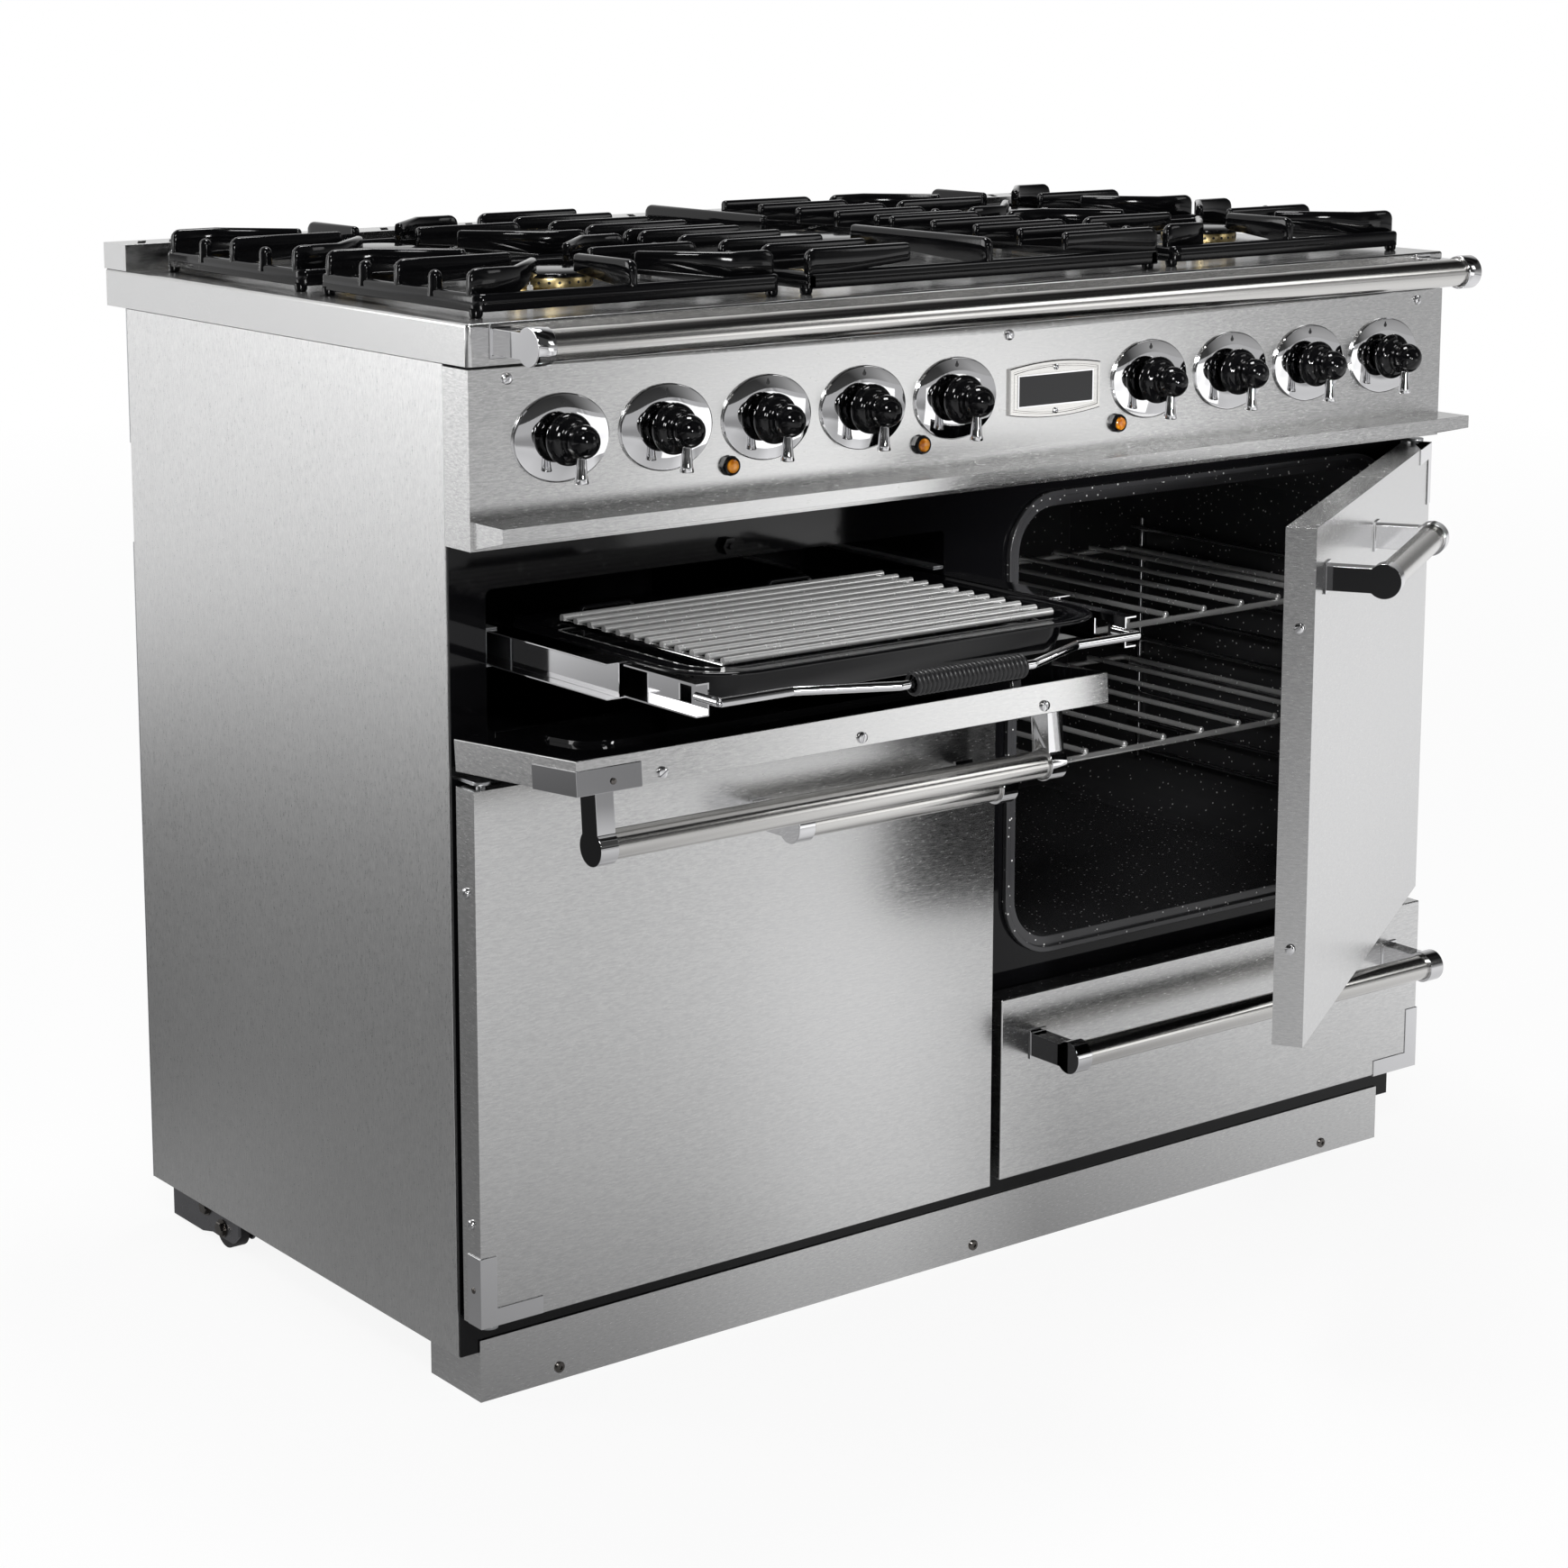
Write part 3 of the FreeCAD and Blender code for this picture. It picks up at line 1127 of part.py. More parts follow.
# drawer
skin, core = door(d.drawer_left, right_edge, d.drawer_bottom, d.drawer_top, [], False)
node("drawer_front", group([skin, core]))
bar, brackets = railing(right_middle - d.long_handle / 2, right_middle + d.long_handle / 2,
                        door_face, d.drawer_top - d.handle_drop, d.handle_radius,
                        d.handle_cap, d.handle_reach)
node("drawer_trim", group([bar] + brackets + [
    corner_cap(right_edge, d.drawer_bottom, 1, -1, True),
]))
box_x0, box_x1 = d.drawer_left + d.box_inset, right_edge - d.box_inset
wall = d.box_sheet
bar_half = d.track_height / 2 - wall - d.track_gap
drawer = [cut(box(box_x0, box_x1, door_rear, door_rear + d.box_depth, d.box_low, d.box_high), [
    box(box_x0 + wall, box_x1 - wall, door_rear + wall, door_rear + d.box_depth - wall,
        d.box_low + wall, d.box_high + d.overrun),
])]
tracks = []
for side, edge in ((-1, box_x0), (1, box_x1)):
    drawer.append(box(edge, edge + side * d.bar_thick, door_rear, door_rear + d.box_depth,
                      d.track_level - bar_half, d.track_level + bar_half))
    web = edge + side * (d.bar_thick + d.track_gap)
    far = web + side * wall
    lip = far - side * d.track_reach
    top, low_z = d.track_level + d.track_height / 2, d.track_level - d.track_height / 2
    toe = web - side * d.track_foot
    tracks.append(plate("y", [("polygon", [
        (far, base_top), (far, top), (lip, top), (lip, top - wall), (web, top - wall),
        (web, low_z + wall), (lip, low_z + wall), (lip, low_z), (web, low_z),
        (web, base_top + wall), (toe, base_top + wall), (toe, base_top),
    ])], frame_back, d.track_length))
node("drawer_box", fused(drawer))

# grill carriage
wall = d.runner_sheet
outer_half = d.outer_height / 2
mid_half = outer_half - wall - d.runner_play
inner_half_height = mid_half - wall - d.runner_play
mids, inners = [], []
z = d.runner_level
for side, edge in ((1, grill_low_x), (-1, grill_high_x)):
    def at(distance):
        return edge + side * distance

    tracks.append(plate("y", [("polygon", [
        (at(0), z - outer_half), (at(0), z + outer_half), (at(d.outer_reach), z + outer_half),
        (at(d.outer_reach), z + outer_half - wall), (at(wall), z + outer_half - wall),
        (at(wall), z - outer_half + wall), (at(d.outer_reach), z - outer_half + wall),
        (at(d.outer_reach), z - outer_half),
    ])], frame_back, d.outer_length))
    near = wall + d.runner_play
    far = near + d.mid_width
    web0, web1 = d.mid_web, d.mid_web + wall
    mids.append(plate("y", [("polygon", [
        (at(near), z + mid_half), (at(far), z + mid_half), (at(far), z + mid_half - wall),
        (at(web1), z + mid_half - wall), (at(web1), z - mid_half + wall),
        (at(far), z - mid_half + wall), (at(far), z - mid_half), (at(near), z - mid_half),
        (at(near), z - mid_half + wall), (at(web0), z - mid_half + wall),
        (at(web0), z + mid_half - wall), (at(near), z + mid_half - wall),
    ])], front + d.mid_front, d.mid_length))
    web0, web1 = d.inner_web, d.inner_web + wall
    tip, rise = web1 - d.inner_reach, inner_half_height
    member = plate("y", [("polygon", [
        (at(web1), z + rise), (at(tip), z + rise), (at(tip), z + rise - wall),
        (at(web0), z + rise - wall), (at(web0), z - rise + wall), (at(tip), z - rise + wall),
        (at(tip), z - rise), (at(web1), z - rise),
    ])], front + d.inner_front, d.inner_length)
    window = front + d.inner_front + d.window_start
    inners.append(cut(member, [box(
        at(web0 - d.overrun), at(web1 + d.overrun), window, window + d.window_length,
        z - d.window_height / 2, z + d.window_height / 2,
    )]))
node("fixed_runners", group(tracks))
node("runner_mid_rails", group(mids))
wire_y = front + d.inner_front
wire_edge = d.grill_half - d.inner_web - wall / 2
bow = d.grip_half + d.wire_run
wire = piped([
    (left_middle - wire_edge, wire_y + d.wire_reach),
    (left_middle - wire_edge, wire_y - d.wire_reach),
    (left_middle - bow, wire_y - d.wire_reach),
    (left_middle - d.grip_half, wire_y - d.grip_reach),
    (left_middle + d.grip_half, wire_y - d.grip_reach),
    (left_middle + bow, wire_y - d.wire_reach),
    (left_middle + wire_edge, wire_y - d.wire_reach),
    (left_middle + wire_edge, wire_y + d.wire_reach),
], d.wire_radius, "y")
bind(wire, "Placement.Base.z", z)
node("carriage_frame", fused(inners + [wire]))
grip_points = [(d.wire_radius + d.bar_play, 0)]
rib_pitch = d.grip_length / d.grip_ribs
for number in range(int(SIZES["grip_ribs"])):
    low_z = number * rib_pitch
    grip_points += [
        (d.grip_radius - d.grip_rib, low_z), (d.grip_radius, low_z + rib_pitch / 4),
        (d.grip_radius, low_z + rib_pitch * 3 / 4),
    ]
grip_points += [(d.grip_radius - d.grip_rib, d.grip_length),
                (d.wire_radius + d.bar_play, d.grip_length)]
grip = turned(grip_points)
grip.Placement = Placement(Vector(), TURNS["x"])
node("handle_grip", place(grip, left_middle - d.grip_length / 2, wire_y - d.grip_reach, z))

pan_low_x, pan_high_x = left_middle - d.pan_half, left_middle + d.pan_half
pan_y0, pan_y1 = front + d.pan_front, front + d.pan_back
rim_low = z + inner_half_height
pan_floor = rim_low + d.pan_sheet - d.pan_depth
slope = math.tan(math.radians(SIZES["pan_draft"])) * d.pan_depth
bowls = []
for skin_thick in (as_size(0) * d.pan_sheet, d.pan_sheet):
    low_in = d.pan_rim + slope + skin_thick
    bowls.append(plate("z", [("rounded", (
        pan_low_x + low_in, pan_high_x - low_in, pan_y0 + low_in, pan_y1 - low_in,
        d.pan_corner - d.pan_rim,
    ))], pan_floor + skin_thick, d.pan_depth - skin_thick, d.pan_draft))
rim = plate("z", [("rounded", (pan_low_x, pan_high_x, pan_y0, pan_y1, d.pan_corner))],
            rim_low, d.pan_sheet)
node("grill_pan", cut(fused([rim, bowls[0]]), [bowls[1]]))
rack_y = front + d.rack_front
rack_z = rim_low + d.rack_rise
rack_span = (d.rack_count - 1) * d.rack_pitch
rack = [
    rod("x", left_middle - d.rack_half, rack_y + number * d.rack_pitch, rack_z,
        d.rack_rod, 2 * d.rack_half)
    for number in range(int(SIZES["rack_count"]))
]
feet_z = pan_floor + d.pan_sheet + d.seat_gap
for side in (-1, 1):
    x = left_middle + side * (d.rack_half - d.rack_rod)
    rack.append(rod("y", x, rack_y, rack_z - d.rack_drop, d.rack_rail, rack_span))
    rack += [rod("z", x, y, feet_z, d.rack_leg, rack_z - feet_z)
             for y in (rack_y + d.rack_foot, rack_y + rack_span - d.rack_foot)]
node("grill_rack", fused(rack))

# knobs
for number, x in enumerate(knob_x, start=1):
    edge = d.knob_step_end - d.knob_skirt_end
    profile = turned([
        (0, d.knob_gap), (d.knob_neck, d.knob_gap), (d.knob_neck, d.knob_skirt_start),
        (d.knob_skirt - edge / 2, d.knob_skirt_start),
        (d.knob_skirt, d.knob_skirt_start + edge / 2),
        (d.knob_skirt, d.knob_skirt_end - edge / 4),
        (d.knob_skirt - edge / 4, d.knob_skirt_end),
        (d.knob_step, d.knob_skirt_end), (d.knob_step, d.knob_step_end),
        (d.knob_waist, d.knob_step_end), (d.knob_waist, d.knob_nose_at), (0, d.knob_nose_at),
    ])
    profile.Placement = Placement(Vector(), Rotation(Vector(1, 0, 0), 90))
    place(profile, x, bezel_face, d.knob_level)
    lever_y = bezel_face - d.lever_at
    neck = d.knob_nose / 2
    node("knob_%d" % number, fused([
        profile,
        ball(x, bezel_face - d.knob_nose_at, d.knob_level, d.knob_nose),
        cone(x, lever_y, d.knob_level - d.lever_end, d.lever_foot, d.lever_top,
             d.lever_end - neck),
        rod("y", x, bezel_face - d.knob_skirt_start, d.knob_level, d.spindle_radius,
            d.knob_skirt_start + d.bezel_thick + d.sheet + d.spindle_reach
            - d.spindle_gap),
    ]))


# pan supports
def support_feet(points):
    return [rod("z", x, y, d.hob_level, d.foot_radius, d.support_rail - d.foot_radius
                + d.support_low - d.hob_level) for x, y in points]


def support_frame(x0, x1, y0, y1):
    return shell_ring("z", x0, x1, y0, y1, d.rail_width + d.support_corner, d.rail_width,
                      d.support_low, d.support_rail)


def blade(x, y, points):
    """Outline of one fin from points measured from a burner."""
    return ("polygon", [(x + a, y + b) for a, b in points])


blade_low = d.support_high - d.fin_height
half_blade = d.fin_thick / 2
middle_rail = d.support_half_x - d.rail_width / 2
for label, side in (("pan_supports_left", -1), ("pan_supports_right", 1)):
    halves = []
    for number, x_and_y in enumerate(burners):
        x, y = x_and_y
        if (x.value > 0) != (side > 0):
            continue
        outward = -1 if number % 2 == 0 else 1
        loops = []
        for across in (-1, 1):
            tip, root = across * d.fin_tip, across * middle_rail
            loops.append(blade(x, y, [(tip, -half_blade), (root, -half_blade),
                                      (root, half_blade), (tip, half_blade)]))
            for along in (-1, 1):
                lean = half_blade * 0.7
                bend_x, bend_y = across * d.fin_corner, along * d.fin_corner_y
                inner = d.fin_diagonal
                loops.append(blade(x, y, [
                    (root, bend_y - half_blade), (root, bend_y + half_blade),
                    (bend_x, bend_y + half_blade),
                    (across * (inner - lean), along * (inner + lean))
                    if along > 0 else (across * (inner + lean), along * (inner - lean)),
                    (across * (inner + lean), along * (inner - lean))
                    if along > 0 else (across * (inner - lean), along * (inner + lean)),
                    (bend_x, bend_y - half_blade),
                ]))
        root = outward * (d.support_half_y - d.rail_width / 2)
        tip = outward * d.fin_tip
        loops.append(blade(x, y, [(-half_blade, tip), (-half_blade, root),
                                  (half_blade, root), (half_blade, tip)]))
        lugs = []
        for across in (-1, 1):
            for along in (-1, 1):
                spot = (x + across * middle_rail, y + along * d.lug_y)
                lugs.append(rod("z", *spot, d.support_low, d.lug_radius,
                                d.support_rail + d.lug_rise))
                lugs.append(ball(*spot, d.support_low + d.support_rail + d.lug_rise,
                                 d.lug_radius))
        feet = support_feet([
            (x + a * middle_rail, y + b * (d.support_half_y - d.rail_width))
            for a in (-1, 1) for b in (-1, 1)
        ])
        halves.append(cut(fused([
            support_frame(x - d.support_half_x, x + d.support_half_x,
                          y - d.support_half_y, y + d.support_half_y),
            plate("z", loops, blade_low, d.fin_height),
        ] + lugs + feet), [cone(x, y, d.support_low, d.fin_sweep, d.fin_tip - half_blade,
                                d.fin_nose)]))
    node(label, group(halves))

halves = []
middle_length = d.middle_depth
for along in (1, -1):
    edge = front + d.middle_front if along > 0 else (
        front + d.middle_front + 2 * middle_length + d.middle_gap)
    far = edge + along * middle_length
    side_rails = []
    for across in (-1, 1):
        x = across * d.middle_half_x
        side_rails.append(box(x, x - across * d.rail_width, edge, far, d.support_low,
                              d.support_low + d.support_rail))
    cross = box(-d.middle_half_x, d.middle_half_x, edge, edge + along * d.rail_width,
                d.support_low, d.support_low + d.support_rail)
    loops = []
    root = d.middle_half_x - d.rail_width / 2
    pitch = (middle_length - d.rail_width) / (d.middle_fins - 1)
    for number in range(int(SIZES["middle_fins"])):
        y = edge + along * (d.rail_width / 2 + number * pitch)
        for across in (-1, 1):
            loops.append(blade(as_size(0) * pitch, y, [
                (across * d.middle_fin, -half_blade), (across * root, -half_blade),
                (across * root, half_blade), (across * d.middle_fin, half_blade),
            ]))
    start = edge + along * d.rail_width / 2
    loops.append(blade(as_size(0) * pitch, start, [
        (-half_blade, 0), (half_blade, 0), (half_blade, along * d.middle_tip),
        (-half_blade, along * d.middle_tip),
    ]))
    feet = support_feet([
        (a * (d.middle_half_x - d.rail_width / 2), y)
        for a in (-1, 1) for y in (edge + along * d.rail_width,
                                   far - along * d.rail_width)
    ])
    halves.append(cut(fused(side_rails + [cross, plate("z", loops, blade_low, d.fin_height)]
                            + feet), [
        cone(wok[0], wok[1], d.support_low, d.middle_sweep, d.middle_fin - d.fin_thick,
             d.fin_nose)]))
node("pan_supports_centre", group(halves))

# floor fittings
fittings, rollers = [], []
base = base_low
for side in (-1, 1):
    x = side * (half - d.roller_inset)
    y = front + d.roller_y
    inner = d.roller_width / 2 + d.bracket_gap
    plate_y0, plate_y1 = front + d.bracket_front, front + d.bracket_back
    lift = d.roller_radius
    cheeks = [
        plate("x", [("polygon", [
            (plate_y0, base), (plate_y0, lift), (y - lift, lift / 2), (y + lift, lift / 2),
            (y + 2 * lift, d.bracket_low), (plate_y1, d.bracket_low), (plate_y1, base),
        ])], start, d.bracket_sheet)
        for start in (x - inner - d.bracket_sheet, x + inner)
    ]
    roof = box(x - inner, x + inner, plate_y0, plate_y1, base - d.bracket_sheet, base)
    axle = rod("x", x - inner, y, lift, d.roller_bore - d.pin_play, 2 * inner)
    fittings.append(fused(cheeks + [roof, axle]))
    rollers.append(cut(rod("x", x - d.roller_width / 2, y, lift, d.roller_radius,
                           d.roller_width), [
        rod("x", x - inner, y, lift, d.roller_bore, 2 * inner)]))
    fittings.append(place(turned([
        (0, 0), (d.foot_disc, 0), (d.foot_disc, d.foot_disc_height / 2),
        (d.foot_stem, d.foot_disc_height), (d.foot_stem, base), (0, base),
    ]), side * (half - d.foot_inset), front + d.foot_y, 0))
node("floor_fittings", group(fittings))
node("rear_rollers", group(rollers))

doc.recompute()
os.makedirs("parts", exist_ok=True)
for item in doc.Objects:
    if "Invalid" in item.State or "Error" in item.State:
        raise RuntimeError("%s (%s) did not recompute" % (item.Name, item.Label))
for item in nodes:
    if item.Shape.isNull() or not item.Shape.isValid() or not item.Shape.Solids:
        raise RuntimeError("bad shape: " + item.Label)
    item.Shape.exportStep("parts/%s.step" % item.Label)
print(len(nodes), "nodes")
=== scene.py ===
"""Looks of the range cooker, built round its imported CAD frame.  Metres, +Z up, front towards -Y."""
import json
import math

import bmesh
import bpy
from mathutils import Matrix, Vector


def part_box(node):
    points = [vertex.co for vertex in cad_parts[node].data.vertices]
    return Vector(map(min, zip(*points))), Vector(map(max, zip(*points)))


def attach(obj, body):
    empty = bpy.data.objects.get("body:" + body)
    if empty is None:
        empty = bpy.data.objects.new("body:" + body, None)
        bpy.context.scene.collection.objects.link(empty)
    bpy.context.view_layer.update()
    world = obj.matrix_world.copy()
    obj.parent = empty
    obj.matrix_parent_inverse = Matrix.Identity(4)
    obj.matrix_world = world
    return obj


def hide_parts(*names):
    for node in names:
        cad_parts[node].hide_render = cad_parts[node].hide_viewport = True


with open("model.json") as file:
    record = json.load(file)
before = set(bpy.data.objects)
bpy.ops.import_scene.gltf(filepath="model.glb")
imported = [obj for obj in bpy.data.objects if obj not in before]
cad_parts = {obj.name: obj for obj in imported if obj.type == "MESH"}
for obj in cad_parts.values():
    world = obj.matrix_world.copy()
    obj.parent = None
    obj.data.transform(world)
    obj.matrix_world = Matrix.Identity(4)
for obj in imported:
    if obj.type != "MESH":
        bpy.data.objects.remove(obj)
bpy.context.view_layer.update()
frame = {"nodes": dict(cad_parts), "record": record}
MM = 0.001
NODE_BODY = {
    node: body
    for body, members in frame["record"]["behaviour"]["bodies"].items()
    for node in members
}

# heights, depths and spacings shared with the CAD, in mm
FRONT = -45.0
BEZEL_FACE = FRONT - 2.5
KNOB_Z = 790.0
KNOB_PITCH = 100.4
KNOB_X = [first + KNOB_PITCH * n for first, count in ((-461.8, 5), (164.8, 4))
          for n in range(count)]
GRILL_MIDDLE = (-545.3 - 8.6) / 2 + 1.5
FORWARD = (0, -1, 0)
UP = (0, 0, 1)


# shader nodes
def add(tree, kind, links, values=None, **settings):
    """New shader node: what feeds its sockets, their plain values, and its own settings."""
    node = tree.nodes.new("ShaderNode" + kind)
    for key, value in settings.items():
        setattr(node, key, value)
    for key, value in (values or {}).items():
        node.inputs[key].default_value = value
    for key, source in links.items():
        tree.links.new(source, node.inputs[key])
    return node


def ranged(tree, source, low, high, to_low=0.0, to_high=1.0):
    """A value's stretch from low to high, moved to another stretch."""
    limits = {"From Min": low, "From Max": high, "To Min": to_low, "To Max": to_high}
    return add(tree, "MapRange", {"Value": source}, limits).outputs["Result"]


def maths(tree, operation, one, two):
    """Result of a Math node on two values."""
    return add(tree, "Math", {0: one, 1: two}, operation=operation).outputs["Value"]


def grey_ramp(tree, source, low, high, stops, blue=1.0):
    """Greys over a value between low and high, from (value, level) stops."""
    node = add(tree, "ValToRGB", {"Fac": ranged(tree, source, low, high)})
    ramp = node.color_ramp
    while len(ramp.elements) < len(stops):
        ramp.elements.new(0.5)
    for element, (value, level) in zip(ramp.elements, stops):
        element.position = (value - low) / (high - low)
        element.color = (level, level, level * blue, 1)
    return node.outputs["Color"]


# materials
def shader(name, color, metallic, roughness, **sockets):
    """Material with plain values on its shader; an underscore stands for a space."""
    mat = bpy.data.materials.new(name)
    mat.use_nodes = True
    node = mat.node_tree.nodes["Principled BSDF"]
    node.inputs["Base Color"].default_value = (*color, 1)
    node.inputs["Metallic"].default_value = metallic
    node.inputs["Roughness"].default_value = roughness
    for key, value in sockets.items():
        node.inputs[key.replace("_", " ")].default_value = value
    return mat


def feed(mat, socket, source):
    """Link a pattern to a socket of the material's shader."""
    mat.node_tree.links.new(source, mat.node_tree.nodes["Principled BSDF"].inputs[socket])


def coords(mat, scale):
    """The piece's own coordinates, in metres, times a scale along each axis."""
    source = mat.node_tree.nodes.new("ShaderNodeTexCoord").outputs["Object"]
    return add(mat.node_tree, "Mapping", {"Vector": source}, {"Scale": scale}).outputs["Vector"]


def noise(mat, scale, detail, vector=(1, 1, 1), rough=0.6):
    """Noise pattern from 0 to 1, which the vector stretches along each axis."""
    values = {"Scale": scale, "Detail": detail, "Roughness": rough}
    return add(mat.node_tree, "TexNoise", {"Vector": coords(mat, vector)}, values).outputs["Fac"]


def roughen(mat, fac, low, high):
    """Let a pattern move the roughness between two values."""
    feed(mat, "Roughness", ranged(mat.node_tree, fac, 0.3, 0.7, low, high))


def tint(mat, fac, first, second, low=0.35, high=0.65):
    """Let a pattern move the colour from the first to the second one."""
    ramp = add(mat.node_tree, "ValToRGB", {"Fac": fac})
    for element, place, color in zip(ramp.color_ramp.elements, (low, high), (first, second)):
        element.position = place
        element.color = (*color, 1)
    feed(mat, "Base Color", ramp.outputs["Color"])


def bump(mat, fac, strength, distance):
    """Fine relief; the distance is in metres."""
    values = {"Strength": strength, "Distance": distance}
    feed(mat, "Normal", add(mat.node_tree, "Bump", {"Height": fac}, values).outputs["Normal"])


def brushed(name, vector, base, rough, depth=0.08):
    """Brushed stainless steel, whose grain runs along the axes with the smaller scale."""
    mat = shader(name, (base, base, base * 0.985), 1.0, rough)
    grain = noise(mat, 1.0, 4.0, vector, 0.7)
    tint(mat, grain, (base * 0.9,) * 3, (base * 1.08, base * 1.08, base * 1.07))
    roughen(mat, grain, rough - 0.04, rough + 0.05)
    bump(mat, grain, depth, 0.0001)
    return mat


def speckled():
    """Near-black oven enamel with pale specks."""
    black = (0.035, 0.035, 0.037)
    mat = shader("oven_enamel", black, 0.0, 0.2)
    place = {"Vector": coords(mat, (1, 1, 1))}
    cells = add(mat.node_tree, "TexVoronoi", place, {"Scale": 150.0})
    tint(mat, cells.outputs["Distance"], (0.6, 0.6, 0.6), black, 0.1, 0.15)
    bump(mat, noise(mat, 22.0, 1.0), 0.05, 0.0006)
    return mat


FINE = 900.0
M = {
    "front": brushed("brushed_front", (170, 170, FINE), 0.7, 0.23),
    "side": brushed("brushed_side", (FINE, FINE, 190), 0.72, 0.3),
    "top": brushed("brushed_top", (170, FINE, FINE), 0.66, 0.22, 0.015),
    "chrome": shader("chrome", (0.76, 0.76, 0.77), 1.0, 0.06),
    "satin": shader("satin_tube", (0.7, 0.69, 0.67), 1.0, 0.17),
    "enamel": shader("black_enamel", (0.003, 0.003, 0.0035), 0.0, 0.06, Specular_IOR_Level=0.3),
    "cast": shader("cast_enamel", (0.003, 0.003, 0.0035), 0.0, 0.08, Specular_IOR_Level=0.35),
    "oven": speckled(),
    "black": shader("knob_black", (0.003, 0.003, 0.0035), 0.0, 0.04, Specular_IOR_Level=0.35),
    "brass": shader("brass", (0.5, 0.4, 0.2), 1.0, 0.28),
    "zinc": shader("zinc", (0.5, 0.51, 0.52), 1.0, 0.35),
    "alu": shader("alu", (0.72, 0.72, 0.73), 1.0, 0.3),
    "rubber": shader("rubber", (0.012, 0.012, 0.013), 0.0, 0.35),
    # dark paint; on the burners it also stands for painted shade in the ports
    "dark": shader("dark_paint_and_port_shade", (0.012, 0.012, 0.013), 0.0, 0.3),
    "white": shader("white_mark", (0.85, 0.85, 0.83), 0.0, 0.4),
    "amber": shader("amber", (0.62, 0.2, 0.008), 0.0, 0.1, Coat_Weight=0.4),
    "rod": shader("rack_rod", (0.92, 0.92, 0.91), 0.7, 0.22),
    "mirror": shader("mirror", (0.74, 0.74, 0.75), 1.0, 0.03),
    "smoke": shader("smoke_metal", (0.16, 0.15, 0.14), 1.0, 0.2),
    "steel": shader("dull_steel", (0.2, 0.2, 0.21), 1.0, 0.3),
    # dark copy of the mirror metal for the brackets' outer sides: painted dark reflection of the room
    "dark_reflection_paint": shader("bracket_side_painted_reflection", (0.07, 0.07, 0.072), 1.0, 0.04),
    # darker copy of the mirror metal for the grill door's corner cap: painted dark reflection
    "cap": shader("cap_darkened_as_painted_reflection", (0.55, 0.55, 0.56), 1.0, 0.07),
}
# relief: pattern scale and detail, strength, depth in metres
RELIEF = {
    "cast": (200.0, 2.0, 0.07, 0.0003),
    "mirror": (14.0, 1.0, 0.02, 0.0003),
    "cap": (26.0, 1.0, 0.03, 0.0003),
    "dark_reflection_paint": (30.0, 1.0, 0.03, 0.0003),
    "black": (90.0, 2.0, 0.015, 0.0002),
    "white": (500.0, 2.0, 0.1, 0.0001),
    "dark": (400.0, 2.0, 0.1, 0.0001),
    "chrome": (30.0, 1.0, 0.02, 0.0002),
    "enamel": (60.0, 2.0, 0.05, 0.0003),
    "rubber": (900.0, 2.0, 0.1, 0.0002),
}
for name, (scale, detail, strength, distance) in RELIEF.items():
    bump(M[name], noise(M[name], scale, detail), strength, distance)
# uneven polish: pattern scale and detail, lowest and highest roughness
POLISH = {
    "rod": (150.0, 2.0, 0.16, 0.28),
    "alu": (240.0, 3.0, 0.24, 0.38),
    "steel": (90.0, 3.0, 0.24, 0.42),
    "smoke": (300.0, 3.0, 0.15, 0.3),
    "zinc": (120.0, 3.0, 0.28, 0.45),
}
for name, (scale, detail, low, high) in POLISH.items():
    roughen(M[name], noise(M[name], scale, detail), low, high)
roughen(M["satin"], noise(M["satin"], 1.0, 3.0, (7, FINE, FINE)), 0.13, 0.22)
tint(M["amber"], noise(M["amber"], 160.0, 1.0), (0.34, 0.09, 0.004), (0.78, 0.3, 0.015))
tint(M["brass"], noise(M["brass"], 200.0, 3.0), (0.4, 0.3, 0.13), (0.58, 0.47, 0.25))


# pieces
def register(obj, body, replaced):
    """Put a new piece in the scene, on its body, in place of the nodes that it replaces."""
    bpy.context.collection.objects.link(obj)
    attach(obj, body)
    if replaced:
        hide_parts(*replaced)
    return obj


def finish_piece(name, mesh, mat, body, replaced, smooth):
    """New piece from a mesh, smooth up to an angle in degrees; no mat keeps the mesh's own."""
    if mat is not None:
        mesh.materials.clear()
        mesh.materials.append(M[mat])
    if smooth:
        mesh.shade_smooth()
        mesh.set_sharp_from_angle(angle=math.radians(smooth))
    return register(bpy.data.objects.new(name, mesh), body, replaced)


def edge_round(obj, width):
    """Small bevel, in mm, on the edges that are sharper than 40 degrees."""
    modifier = obj.modifiers.new("edges", "BEVEL")
    modifier.width = width * MM
    modifier.segments = 2
    modifier.limit_method = "ANGLE"
    modifier.angle_limit = math.radians(40)
    modifier.harden_normals = True
    modifier.use_clamp_overlap = True


def mesh_from(build):
    """Mesh that a function builds, with its faces turned outwards."""
    mesh = bpy.data.meshes.new("shape")
    work = bmesh.new()
    build(work)
    bmesh.ops.recalc_face_normals(work, faces=work.faces)
    work.to_mesh(mesh)
    work.free()
    return mesh


